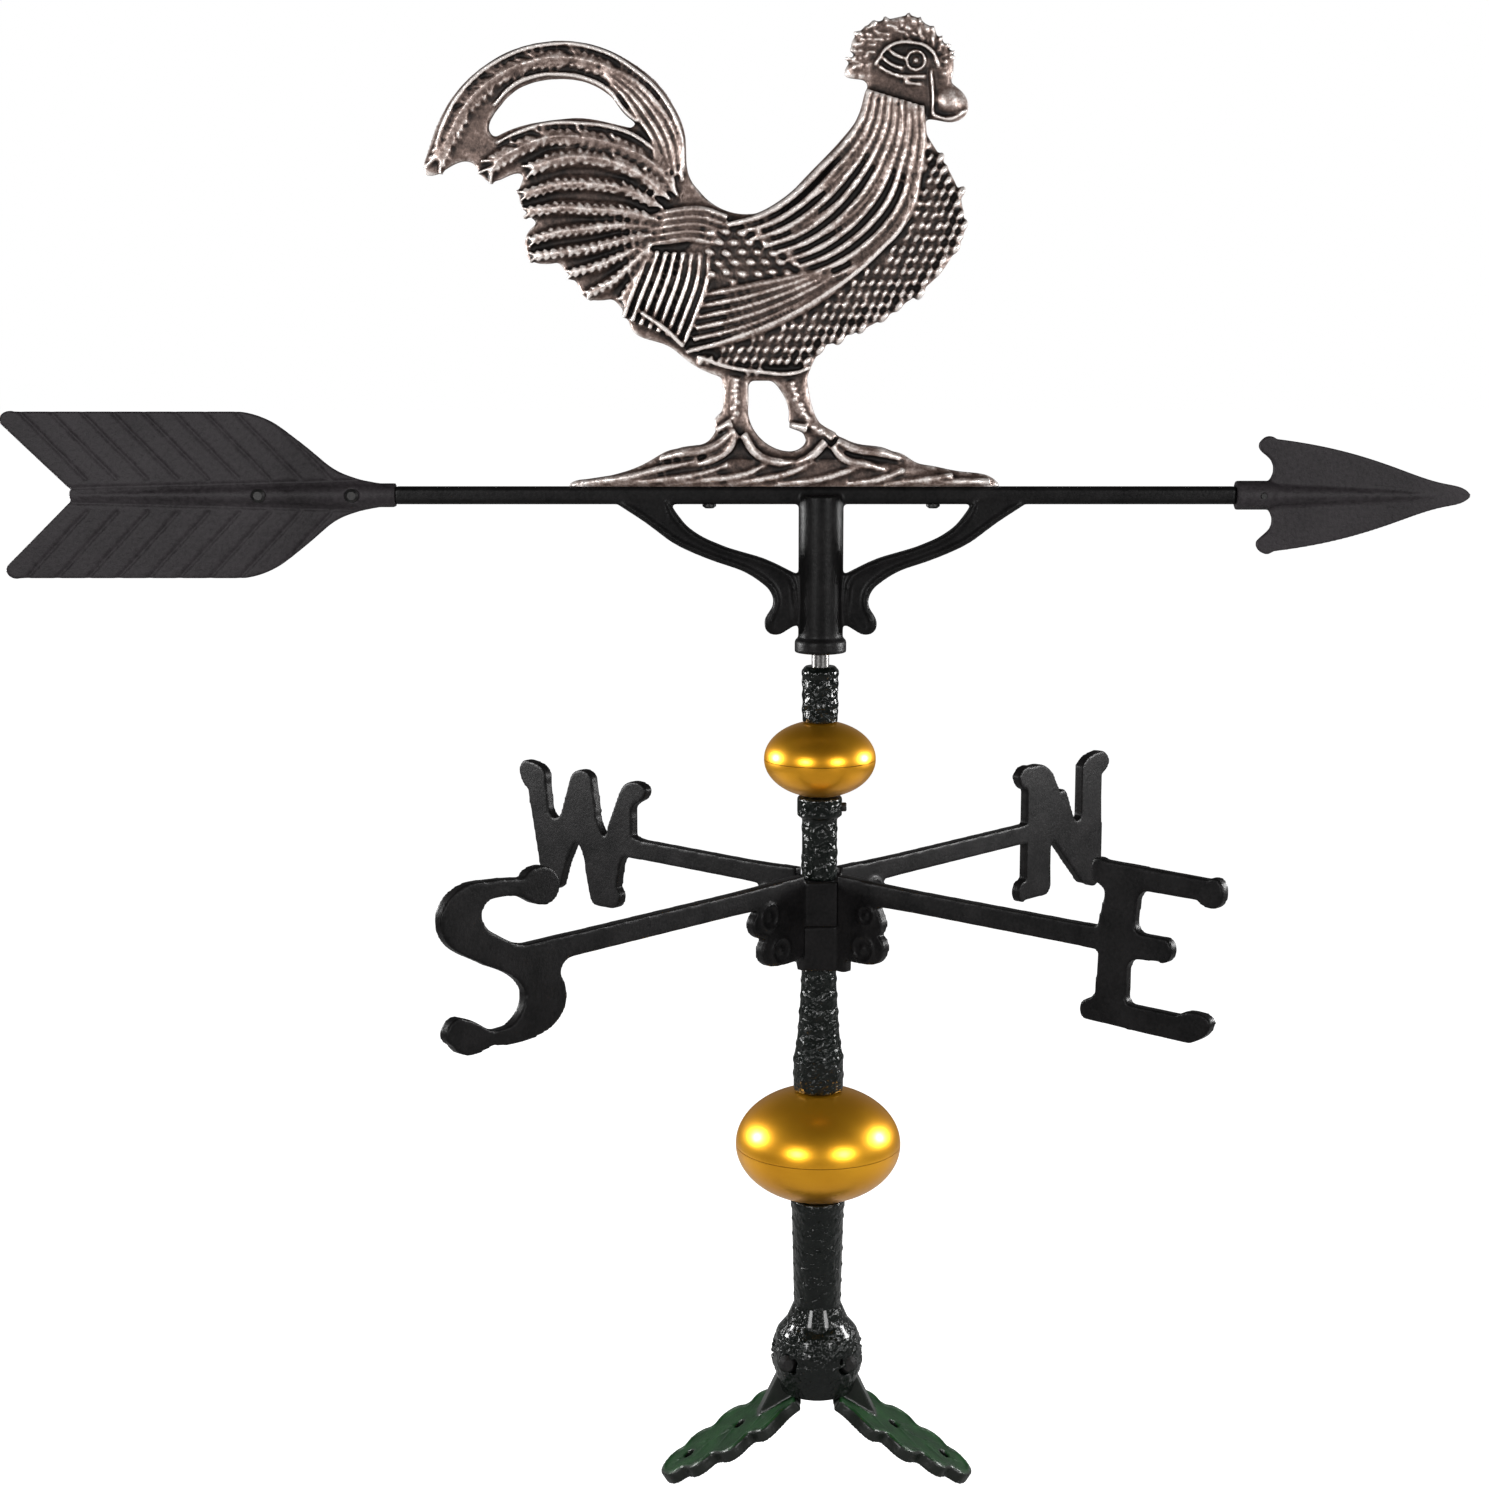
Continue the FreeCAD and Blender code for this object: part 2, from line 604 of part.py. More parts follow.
def makeArms(name, upperBlock, turnBy, right, left):
    """One casting of the compass: its half of the hub, two arms and their letters."""
    body = newBody(name)
    blockFoot = f"{hubFoot} + hubBlock + hubGap" if upperBlock else hubFoot
    block = newSketch(body, "XY_Plane", blockFoot)
    corners = [(hubCorner, f"-{hubFlat}"), (hubCorner, hubFlat), (hubFlat, hubCorner),
               (f"-{hubFlat}", hubCorner), (f"-{hubCorner}", hubFlat), (f"-{hubCorner}", f"-{hubFlat}"),
               (f"-{hubFlat}", f"-{hubCorner}"), (hubFlat, f"-{hubCorner}")]
    drawCorners(block, corners)
    pad(body, block, "hubBlock", symmetric=False)

    overlap = f"({hubCorner} - 2)"
    ownFoot = f"({blockFoot})"
    for side, reach in (("", right[2]), ("-", left[2])):
        arm = newSketch(body, "XZ_Plane")
        drawCorners(arm, [
            (f"{side}({hubCorner} + hubGap)", f"{armLevel} - armRoot / 2"),
            (f"{side}({hubCorner} + hubGap)", f"{armLevel} + armRoot / 2"),
            (f"{side}{reach} * 0.4", f"{armLevel} + armHeight / 2"),
            (f"{side}({reach} + 10)", f"{armLevel} + armHeight / 2"),
            (f"{side}({reach} + 10)", f"{armLevel} - armHeight / 2"),
            (f"{side}{reach} * 0.4", f"{armLevel} - armHeight / 2"),
        ])
        root = newSketch(body, "XZ_Plane")
        drawCorners(root, [
            (f"{side}{overlap}", ownFoot),
            (f"{side}{overlap}", f"{ownFoot} + hubBlock"),
            (f"{side}({hubCorner} + 6)", f"{ownFoot} + hubBlock"),
            (f"{side}({hubCorner} + 6)", ownFoot),
        ])
        pad(body, root, "armThickness")
        scroll = newSketch(body, "XZ_Plane")
        sign = -1 if side else 1
        drawStretches(
            scroll,
            upperScroll if upperBlock else lowerScroll,
            stretchBy=(sign, 1),
            start=(sign * value(f"{hubCorner} + hubGap"), value(armLevel)),
        )
        pad(body, scroll, "armThickness")
        pad(body, arm, "armThickness")

    grow = value("letterHeight") / letterGrid
    for letter, width, reach, side in (right + (1,), left + (-1,)):
        sketch = newSketch(body, "XZ_Plane")
        leftEdge = value(reach) if side > 0 else -value(reach) - width * grow
        drawStretches(sketch, letter, stretchBy=(grow, grow), start=(leftEdge, value(armLevel)))
        pad(body, sketch, "armThickness")

    bore = newSketch(body, "XZ_Plane")
    drawCorners(bore, [("0", hubFoot), (rodHole, hubFoot), (rodHole, hubTop), ("0", hubTop)])
    cutTurned(body, bore)
    screw = newSketch(body, "YZ_Plane", swing=90 - turnBy)
    drawCircle(screw, "0", f"{ownFoot} + hubBlock / 2", "setScrew / 2")
    cutStraight(body, screw, "hubWidth", symmetric=False, flipped=True)
    standAt(body, "0", "0", "0", (0, 0, 1), f"{turnBy} + compassTurn")
    return body


# ---- vane: arrow frame, fletching, head, rooster, bearing ----

# The straps are drawn about the arrow's axis and the mast's, the fletching and the arrowhead
# outwards from the ends of the bar, and the rooster above the top of the bar.
strap = [
    [(-116, 0)],
    [(-104, -8), (-92, -16), (-80, -25), (-68, -31), (-55, -36), (-41, -41), (-33, -46), (-27, -52),
     (-26, -60), (-30, -67), (-29, -73), (-24, -75), (-19, -73), (-14, -70)],
    [(-8, -70)], [(-8, -42)], [(-14, -42)],
    [(-22, -38), (-31, -34), (-41, -31), (-54, -27), (-72, -18), (-81, -11), (-86, 0)],
]
fletchingGrid = (210, 44.5)
fletching = [
    [(-171, 0)], [(-210, 38)], [(-210, 42), (-208, 44), (-203, 44.5)], [(-83, 44.5)],
    [(-72, 42), (-62, 37), (-54, 31), (-43, 22), (-33, 14), (-21, 9), (-6, 6)], [(0, 6)], [(0, 0)],
]
arrowheadGrid = (126, 30)
barbs = [
    [(18, 0)], [(18, 8)], [(20, 13), (19, 18), (15, 22), (12, 26), (14, 30), (21, 30)],
    [(32, 28.5), (59, 23), (86, 14.5), (113, 6), (123, 3), (126, 0)],
]
roosterGrid = 244
roosterOutline = [
    # tail: the long sickle feather, its ragged underside, the short feathers and the rump
    [(-71, 165), (-72, 182), (-80, 201), (-97, 218), (-119, 229), (-143, 231), (-168, 224), (-188, 209),
     (-200, 191), (-204, 179), (-209, 170), (-209, 163)],
    [(-203, 163), (-196, 167), (-187, 170), (-182, 168)], [(-178, 161)],
    [(-171, 160), (-164, 163), (-156, 163)], [(-159, 157), (-159, 149), (-154, 142), (-149, 138)],
    [(-156, 132), (-157, 127), (-154, 119), (-147, 117), (-139, 118)], [(-135, 113), (-129, 107)],
    [(-124, 99), (-118, 98), (-111, 99)], [(-106, 94), (-102, 86)],
    [(-98, 80), (-90, 77), (-81, 74), (-72, 67), (-62, 61), (-53, 58)],
    # legs down to the mound
    [(-52, 46)], [(-53, 39)], [(-57, 36), (-56, 30)], [(-60, 24)],
    [(-70, 21), (-82, 19), (-91, 14), (-99, 10), (-112, 6), (-124, 4), (-134, 2), (-136, 0)],
    [(96, 0)],
    [(91, 5), (74, 8), (59, 11), (50, 13), (44, 17), (36, 19), (22, 21), (10, 23)],
    [(2, 30), (-3, 37), (-6, 46), (-8, 57)],
    # breast, throat and beak
    [(-5, 65), (0, 73), (19, 82), (36, 91), (51, 102), (63, 113), (71, 127), (74, 141), (71, 156), (62, 172),
     (53, 186)],
    [(52, 191)], [(60, 191), (68, 190), (75, 194), (76, 199), (73, 205), (66, 210)],
    # comb, back of the neck and saddle
    [(68, 217), (67, 224), (62, 231), (55, 238), (46, 244), (38, 243), (28, 241), (20, 237), (14, 229)],
    [(16, 223), (12, 218), (11, 214), (16, 212), (23, 211)],
    [(21, 197), (13, 185), (3, 174), (-8, 163), (-20, 151), (-32, 144), (-44, 143), (-56, 147), (-65, 155)],
]
tailWindow = [
    [(-175, 186), (-170, 197), (-161, 206), (-148, 211), (-136, 212), (-123, 210), (-112, 204), (-101, 193),
     (-95, 186)],
    [(-109, 189), (-125, 192), (-142, 191), (-158, 188), (-172, 182)],
]
legWindow = [
    [(-39, 56)], [(-39, 44)], [(-38, 34), (-32, 25), (-24, 20), (-14, 19), (-8, 24)],
    [(-10, 29)], [(-18, 34)],
    [(-18, 43), (-22, 51), (-26, 56)],
]
roosterFlesh = [
    [(-64, 78), (-46, 66), (-23, 66), (0, 81), (36, 100), (58, 117), (65, 142), (57, 164), (46, 184),
     (35, 186), (22, 175), (6, 160), (-13, 143), (-34, 134), (-55, 136), (-72, 124), (-74, 100)],
]


def makeArrowFrame():
    """Bar, straps and tube in one casting, with a thinner spigot at each end of the bar."""
    body = newBody("arrow_frame")
    bar = newSketch(body, "XZ_Plane")
    drawCorners(bar, [("-barTail", barFoot), ("barHead", barFoot), ("barHead", barTop), ("-barTail", barTop)])
    square = pad(body, bar, "barDepth")
    edges = enumerate(square.Shape.Edges, start=1)
    longEdges = [f"Edge{index}" for index, edge in edges if edge.Length > 100]
    rounding = body.newObject("PartDesign::Fillet", "arrow_frame_rounding")
    rounding.Base = (square, longEdges)
    bind(rounding, Radius="barHeight * 0.28")
    doc.recompute()

    for shift, radius, length in (("-barTail - tailSpigotLength", "tailSpigot / 2", "tailSpigotLength + 5"),
                                  ("barHead - 5", "headSpigot / 2", "headSpigotLength + 5")):
        spigot = newSketch(body, "YZ_Plane", shift)
        drawCircle(spigot, "0", barLevel, radius)
        pad(body, spigot, length, symmetric=False)
    tube = newSketch(body, "XZ_Plane")
    drawCorners(tube, [
        ("0", tubeFoot),
        ("tubeCollar", tubeFoot),
        ("tubeCollar", f"{tubeFoot} + tubeCollarHeight"),
        ("tubeRadius", f"{tubeFoot} + tubeCollarHeight + 1.5"),
        ("tubeRadius", barLevel),
        ("0", barLevel),
    ])
    turn(body, tube)
    side = newSketch(body, "XZ_Plane", lift=barLevel)
    drawStretches(side, strap)
    left = pad(body, side, "strapDepth")
    right = body.newObject("PartDesign::Mirrored", "arrow_frame_right_strap")
    right.Originals = [left]
    right.MirrorPlane = (side, ["V_Axis"])
    body.Tip = right
    doc.recompute()

    bore = newSketch(body, "XZ_Plane")
    drawCorners(bore, [
        ("0", tubeFoot), ("tubeBore / 2", tubeFoot), ("tubeBore / 2", boreTop), ("0", boreTop),
    ])
    cutTurned(body, bore)
    upright = newSketch(body, "XY_Plane", barLevel)
    for side in ("", "-"):
        drawCircle(upright, f"{side}roosterScrewPlace", "0", "smallScrew / 2")
    cutStraight(body, upright, "2 * barHeight")
    across = newSketch(body, "XZ_Plane", lift=barLevel)
    for place in ("-tailScrewInner", "-tailScrewOuter"):
        drawCircle(across, place, "0", "smallScrew / 2")
    drawCircle(across, "headPinPlace", "0", "headPin / 2")
    cutStraight(body, across, "2 * barDepth")
    return body


def mirrorDown(body, sketch, feature):
    """The other half of a blade, on the far side of the arrow's axis."""
    lower = body.newObject("PartDesign::Mirrored", body.Name + "_lower_half")
    lower.Originals = [feature]
    lower.MirrorPlane = (sketch, ["H_Axis"])
    body.Tip = lower
    doc.recompute()


def makeFletching():
    body = newBody("tail_fletching")
    blade = newSketch(body, "XZ_Plane", lift=barLevel)
    grow = (value("tailEnd - barTail") / fletchingGrid[0], value("tailHeight / 2") / fletchingGrid[1])
    drawStretches(blade, fletching, stretchBy=grow, start=(-value("barTail"), 0))
    mirrorDown(body, blade, pad(body, blade, "bladeThickness"))
    rib = newSketch(body, "XZ_Plane", lift=barLevel)
    drawCorners(rib, [
        ("tailNotch - tailEnd - 4", "0"),
        ("tailNotch - tailEnd - 4", "ribTip"),
        ("-tailScrewInner", "ribRadius"),
        ("-barTail", "ribRadius"),
        ("-barTail", "0"),
    ])
    turn(body, rib, "H_Axis")
    socket = newSketch(body, "XZ_Plane", lift=barLevel)
    drawCorners(socket, [
        ("-barTail - tailSpigotLength", "0"),
        ("-barTail - tailSpigotLength", "tailSpigot / 2"),
        ("-barTail", "tailSpigot / 2"),
        ("-barTail", "0"),
    ])
    cutTurned(body, socket, "H_Axis")
    flats = newSketch(body, "XZ_Plane", "screwFlat", lift=barLevel)
    holes = newSketch(body, "XZ_Plane", "-screwFlat + 1", lift=barLevel)
    for place in ("-tailScrewInner", "-tailScrewOuter"):
        drawCircle(flats, place, "0", "smallScrewHead / 2 + 0.4")
        drawCircle(holes, place, "0", "smallScrew / 2")
    cutStraight(body, flats, "ribRadius", symmetric=False, flipped=True)
    cutStraight(body, holes, "3 * ribRadius", symmetric=False, flipped=True)
    return body


def makeArrowhead():
    body = newBody("arrowhead")
    blade = newSketch(body, "XZ_Plane", lift=barLevel)
    grow = (value("headTip - barHead") / arrowheadGrid[0], value("headHeight / 2") / arrowheadGrid[1])
    drawStretches(blade, barbs, stretchBy=grow, start=(value("barHead"), 0))
    mirrorDown(body, blade, pad(body, blade, "headThickness"))
    rib = newSketch(body, "XZ_Plane", lift=barLevel)
    drawCorners(rib, [
        ("barHead", "0"),
        ("barHead", "headSleeve"),
        ("headBack", "headSleeve"),
        ("headBack + 4", "headSleeve - 1.5"),
        ("headTip - 20", "headThickness / 2 + 0.3"),
        ("headTip - 20", "0"),
    ])
    turn(body, rib, "H_Axis")
    socket = newSketch(body, "XZ_Plane", lift=barLevel)
    drawCorners(socket, [
        ("barHead", "0"),
        ("barHead", "headSpigot / 2"),
        ("barHead + headSpigotLength", "headSpigot / 2"),
        ("barHead + headSpigotLength", "0"),
    ])
    cutTurned(body, socket, "H_Axis")
    pin = newSketch(body, "XZ_Plane", lift=barLevel)
    drawCircle(pin, "headPinPlace", "0", "headPin / 2")
    cutStraight(body, pin, "3 * headSleeve")
    return body


def makeSmallScrew(name, grip):
    """A pan-head screw whose head sits on the plane it is placed at."""
    return turnedBody(name, [
        ("0", f"-{grip}"),
        ("smallScrew / 2", f"-{grip}"),
        ("smallScrew / 2", "0"),
        ("smallScrewHead / 2", "0"),
        ("smallScrewHead / 2", "smallScrewHeadHeight * 0.5"),
        ("smallScrewHead * 0.3", "smallScrewHeadHeight"),
        ("0", "smallScrewHeadHeight"),
    ])


def makeVaneFasteners():
    tailScrews = []
    for place in ("Inner", "Outer"):
        screw = makeSmallScrew(f"tail_screw_{place}", "(2 * screwFlat - 1)")
        standAt(screw, f"-tailScrew{place}", "-screwFlat", barLevel, (1, 0, 0), "90")
        tailScrews.append(screw)
    roosterScrews = []
    for side, label in (("", "front"), ("-", "rear")):
        screw = makeSmallScrew(f"rooster_screw_{label}", "(barHeight + roosterScrewGrip)")
        standAt(screw, f"{side}roosterScrewPlace", "0", barFoot, (1, 0, 0), "180")
        roosterScrews.append(screw)
    pin = turnedBody("arrowhead_pin", [
        ("0", "-headSleeve - 0.4"),
        ("headPin / 2", "-headSleeve - 0.4"),
        ("headPin / 2", "headSleeve + 0.4"),
        ("0", "headSleeve + 0.4"),
    ])
    standAt(pin, "headPinPlace", "0", barLevel, (1, 0, 0), "90")
    return [groupOf("tail_screws", tailScrews), groupOf("rooster_screws", roosterScrews), pin]


def makeRooster():
    body = newBody("rooster")
    grow = value("roosterHeight") / roosterGrid
    outline = newSketch(body, "XZ_Plane", lift=barTop)
    for shape in (roosterOutline, tailWindow, legWindow):
        drawStretches(outline, shape, stretchBy=(grow, grow))
    pad(body, outline, "roosterThickness")
    flesh = newSketch(body, "XZ_Plane", lift=barTop)
    drawStretches(flesh, roosterFlesh, stretchBy=(grow, grow))
    pad(body, flesh, "roosterBody")
    mound = newSketch(body, "XZ_Plane", lift=barTop)
    drawCorners(mound, [
        ("-roosterHeight * 0.54", "0"),
        ("roosterHeight * 0.38", "0"),
        ("roosterHeight * 0.25", "roosterHeight * 0.03"),
        ("roosterHeight * 0.1", "roosterHeight * 0.06"),
        ("-roosterHeight * 0.3", "roosterHeight * 0.06"),
        ("-roosterHeight * 0.43", "roosterHeight * 0.025"),
    ])
    pad(body, mound, "roosterBaseDepth")
    holes = newSketch(body, "XY_Plane", barTop)
    for side in ("", "-"):
        drawCircle(holes, f"{side}roosterScrewPlace", "0", "smallScrew / 2")
    cutStraight(body, holes, "roosterScrewGrip", symmetric=False, flipped=True)
    return body


def makeBearing():
    """Seat, ball and bush: the vane hangs on the ball and is steadied by the bush."""
    seatFoot = f"({ballLevel} + 1)"
    blank = doc.addObject("Part::Cylinder", "pivot_seat_blank")
    bind(blank, Radius="tubeBore / 2", Height=f"{boreTop} - {seatFoot}", Placement_Base_z=seatFoot)
    cup = doc.addObject("Part::Sphere", "pivot_seat_cup")
    bind(cup, Radius="ballDiameter / 2 + seatClearance", Placement_Base_z=ballLevel)
    seat = doc.addObject("Part::Cut", "pivot_seat")
    seat.Label = "pivot_seat"
    seat.Base = blank
    seat.Tool = cup
    ball = doc.addObject("Part::Sphere", "thrust_ball")
    ball.Label = "thrust_ball"
    bind(ball, Radius="ballDiameter / 2", Placement_Base_z=ballLevel)
    bush = turnedBody("lower_bush", [
        (spindleHole, tubeFoot),
        ("tubeBore / 2", tubeFoot),
        ("tubeBore / 2", f"{tubeFoot} + bushLength"),
        (spindleHole, f"{tubeFoot} + bushLength"),
    ])
    return [seat, ball, bush]


def export(nodes):
    doc.recompute()
    for item in doc.Objects:
        assert "Invalid" not in item.State and "Error" not in item.State, f"{item.Label}: {item.State}"
    os.makedirs("parts", exist_ok=True)
    for node in nodes:
        shape = node.Shape
        assert not shape.isNull() and shape.isValid(), f"{node.Label} has no sound shape"
        shape.exportStep(f"parts/{node.Label}.step")
        print(f"{node.Label}: {len(shape.Solids)} solid, {shape.Volume / 1000:.2f} cm3")


nodes = [makeBasePost(), makeLeg("right_leg", 1, 0), makeLeg("left_leg", -1, 180)]
nodes += makePivotBolts()
nodes += [makeMastRod(), makeLowerSleeve(), makeMiddleSleeve(), makeUpperSleeve()]
globes = (("large_globe", "largeGlobeWidth", "largeGlobeHeight", largeGlobeLevel),
          ("small_globe", "smallGlobeWidth", "smallGlobeHeight", smallGlobeLevel))
for name, width, height, level in globes:
    nodes.append(makeGlobeHalf(f"{name}_upper", width, height, level, True))
    nodes.append(makeGlobeHalf(f"{name}_lower", width, height, level, False))
nodes.append(makeArms("north_south_arm", True, 45,
                      (northLetter, 95, "northReach"), (southLetter, 84, "southReach")))
nodes.append(makeArms("east_west_arm", False, -45,
                      (eastLetter, 81, "eastReach"), (westLetter, 103, "westReach")))
screwTip = "(rodDiameter / 2 + rodClearance + 0.05)"
collarLevel = f"({smallGlobeFoot} - collarHeight / 2)"
hubScrewEnd = "(hubWidth / 2 - 1)"
nodes.append(makeSetScrew("sleeve_set_screw", screwTip, "(collarRadius + setScrewProud)", collarLevel, 0))
nodes.append(makeSetScrew("post_set_screw", screwTip, "(postRadius - 1)", "(postTop - 14)", 90))
back = 90 + sizes["compassTurn"]
nodes.append(makeSetScrew("upper_hub_screw", screwTip, hubScrewEnd, f"({hubTop} - hubBlock / 2)", back))
nodes.append(makeSetScrew("lower_hub_screw", screwTip, hubScrewEnd, f"({hubFoot} + hubBlock / 2)", back))
nodes += [makeArrowFrame(), makeFletching(), makeArrowhead(), makeRooster()]
nodes += makeVaneFasteners()
nodes += makeBearing()
export(nodes)
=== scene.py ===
import math
import random

import bpy
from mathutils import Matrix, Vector


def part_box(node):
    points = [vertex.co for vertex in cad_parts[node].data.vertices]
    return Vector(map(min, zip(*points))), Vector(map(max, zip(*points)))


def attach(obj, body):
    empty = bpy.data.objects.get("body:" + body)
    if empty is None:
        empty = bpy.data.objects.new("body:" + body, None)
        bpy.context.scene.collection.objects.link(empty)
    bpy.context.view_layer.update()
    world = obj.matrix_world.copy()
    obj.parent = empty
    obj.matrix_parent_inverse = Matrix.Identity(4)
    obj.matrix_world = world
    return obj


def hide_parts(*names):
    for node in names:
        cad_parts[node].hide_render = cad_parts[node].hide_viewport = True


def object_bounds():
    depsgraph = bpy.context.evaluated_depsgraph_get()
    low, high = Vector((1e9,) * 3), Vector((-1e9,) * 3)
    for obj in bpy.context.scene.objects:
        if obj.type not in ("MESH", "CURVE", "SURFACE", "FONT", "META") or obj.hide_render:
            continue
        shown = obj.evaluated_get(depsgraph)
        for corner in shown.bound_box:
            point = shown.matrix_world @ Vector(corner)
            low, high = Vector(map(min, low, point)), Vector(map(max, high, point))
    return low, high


# A roof weather vane: a cast rooster over an arrow that turns on a mast with two gilt globes
# and four compass letters. Lengths in the dictionaries are millimetres, angles are degrees.

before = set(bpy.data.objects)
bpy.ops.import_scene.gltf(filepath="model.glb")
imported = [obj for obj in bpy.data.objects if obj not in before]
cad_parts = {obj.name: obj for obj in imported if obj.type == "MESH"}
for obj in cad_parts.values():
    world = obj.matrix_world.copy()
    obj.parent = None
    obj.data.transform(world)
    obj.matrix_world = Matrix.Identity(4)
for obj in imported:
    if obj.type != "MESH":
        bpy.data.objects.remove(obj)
cadLow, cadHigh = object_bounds()
mm = 0.001
mergeWithin = 0.01   # corners this close are one corner
middleBand = 0.02    # corners this close to a strand's middle stay where they are
random.seed(7)
print("frame: packed vane loaded")


def quiet():  # object mode, with nothing selected
    if bpy.context.object and bpy.context.object.mode != "OBJECT":
        bpy.ops.object.mode_set(mode="OBJECT")
    bpy.ops.object.select_all(action="DESELECT")


def work(piece):
    quiet()
    piece.select_set(True)
    bpy.context.view_layer.objects.active = piece


def castingFrom(node, name):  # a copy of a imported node, its loose triangles merged
    piece = bpy.data.objects.new(name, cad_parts[node].data.copy())
    bpy.context.scene.collection.objects.link(piece)
    piece.data.materials.clear()
    work(piece)
    bpy.ops.object.mode_set(mode="EDIT")
    bpy.ops.mesh.select_all(action="SELECT")
    bpy.ops.mesh.remove_doubles(threshold=mergeWithin * mm)
    bpy.ops.object.mode_set(mode="OBJECT")
    return piece


def modify(piece, kind, **settings):
    work(piece)
    modifier = piece.modifiers.new(kind.lower(), kind)
    for name, setting in settings.items():
        setattr(modifier, name, setting)
    bpy.ops.object.modifier_apply(modifier=modifier.name)


def settle(piece):  # the piece's place goes into its mesh
    work(piece)
    bpy.ops.object.transform_apply(location=True, rotation=True, scale=True)


def fuse(pieces, voxel, smoothing):  # joins pieces into one skin, as one casting
    quiet()
    for piece in pieces:
        piece.select_set(True)
    whole = pieces[0]
    bpy.context.view_layer.objects.active = whole
    if len(pieces) > 1:
        bpy.ops.object.join()
    modify(whole, "REMESH", mode="VOXEL", voxel_size=voxel * mm)
    if smoothing:
        modify(whole, "SMOOTH", factor=0.5, iterations=smoothing)
    return whole


widestStretch = 1.7  # past this a strand gets flat sides under its round backs


def strands(name, lines, width, depth, toSpace, flat, ends=(0.35, 0.3), closed=False):
    # Rounded strands along lines of points, wider in their plane or out of it by depth / width.
    curve = bpy.data.curves.new(name, "CURVE")
    curve.dimensions = "3D"
    curve.bevel_depth = width * mm
    curve.bevel_resolution = 2
    curve.use_fill_caps = True
    curve.resolution_u = 5
    for line in lines:
        spline = curve.splines.new("BEZIER")
        spline.bezier_points.add(len(line) - 1)
        spline.use_cyclic_u = closed
        for index, (point, place) in enumerate(zip(spline.bezier_points, line)):
            point.co = toSpace(place)
            point.handle_left_type = point.handle_right_type = "AUTO"
            if not closed:
                point.radius = ends[0] if index == 0 else ends[1] if index == len(line) - 1 else 1
    piece = bpy.data.objects.new(name, curve)
    bpy.context.scene.collection.objects.link(piece)
    work(piece)
    bpy.ops.object.convert(target="MESH")
    settle(piece)
    stretch = [1, 1, 1]
    stretch[flat] = min(depth / width, widestStretch)
    centre = toSpace((0, 0))
    bpy.ops.transform.resize(value=stretch, center_override=centre)
    settle(piece)
    rest = (depth - stretch[flat] * width) * mm
    if rest > 0:
        for side in (1, -1):
            pullSide(piece, flat, centre[flat], side, rest)
    return piece


def pullSide(piece, flat, middle, side, distance):  # moves the half on one side straight out
    work(piece)
    bpy.ops.object.mode_set(mode="EDIT")
    bpy.ops.mesh.select_mode(type="VERT")
    bpy.ops.mesh.select_all(action="DESELECT")
    bpy.ops.object.mode_set(mode="OBJECT")
    for corner in piece.data.vertices:
        corner.select = (corner.co[flat] - middle) * side > middleBand * mm
    bpy.ops.object.mode_set(mode="EDIT")
    move = [0, 0, 0]
    move[flat] = side * distance
    bpy.ops.transform.translate(value=move)
    bpy.ops.object.mode_set(mode="OBJECT")


def fan(first, last, count):  # lines spread evenly from the first to the last
    lines = []
    for index in range(count):
        share = index / (count - 1)
        lines.append([(a[0] + (b[0] - a[0]) * share, a[1] + (b[1] - a[1]) * share)
                      for a, b in zip(first, last)])
    return lines


def walk(line, step):  # places every step along a line, each with its direction
    places = []
    left = step / 2
    for start, end in zip(line, line[1:]):
        length = math.dist(start, end)
        along = ((end[0] - start[0]) / length, (end[1] - start[1]) / length)
        while left < length:
            places.append(((start[0] + along[0] * left, start[1] + along[1] * left), along))
            left += step
        left -= length
    return places


def barbs(line, reach, step, lean):  # strokes that leave both sides of a vein at a slant
    strokes = []
    for (x, z), (alongX, alongZ) in walk(line, step):
        for side in (1, -1):
            tipX = x + (alongX * lean - alongZ * side) * reach
            tipZ = z + (alongZ * lean + alongX * side) * reach
            strokes.append([(x, z), (tipX, tipZ)])
    return strokes


def inside(place, outline):  # whether the place lies within the outline
    x, z = place
    within = False
    for (ax, az), (bx, bz) in zip(outline, outline[1:] + outline[:1]):
        if (az > z) != (bz > z) and x < (bx - ax) * (z - az) / (bz - az) + ax:
            within = not within
    return within


def pebble(place, size, turn=0, detail=2):  # an oval bump
    bpy.ops.mesh.primitive_ico_sphere_add(subdivisions=detail, radius=mm, location=place,
                                          rotation=(0, turn, 0), scale=size)
    return bpy.context.object


class Signal:  # a node's output that can be added to, multiplied and so on
    def __init__(self, look, socket):
        self.look = look
        self.socket = socket

    def sum(self, operation, first, second):
        return self.look.node("ShaderNodeMath", {"operation": operation}, {0: first, 1: second})

    def __add__(self, other):
        return self.sum("ADD", self, other)

    def __radd__(self, other):
        return self.sum("ADD", other, self)

    def __sub__(self, other):
        return self.sum("SUBTRACT", self, other)

    def __rsub__(self, other):
        return self.sum("SUBTRACT", other, self)

    def __mul__(self, other):
        return self.sum("MULTIPLY", self, other)

    def __rmul__(self, other):
        return self.sum("MULTIPLY", other, self)


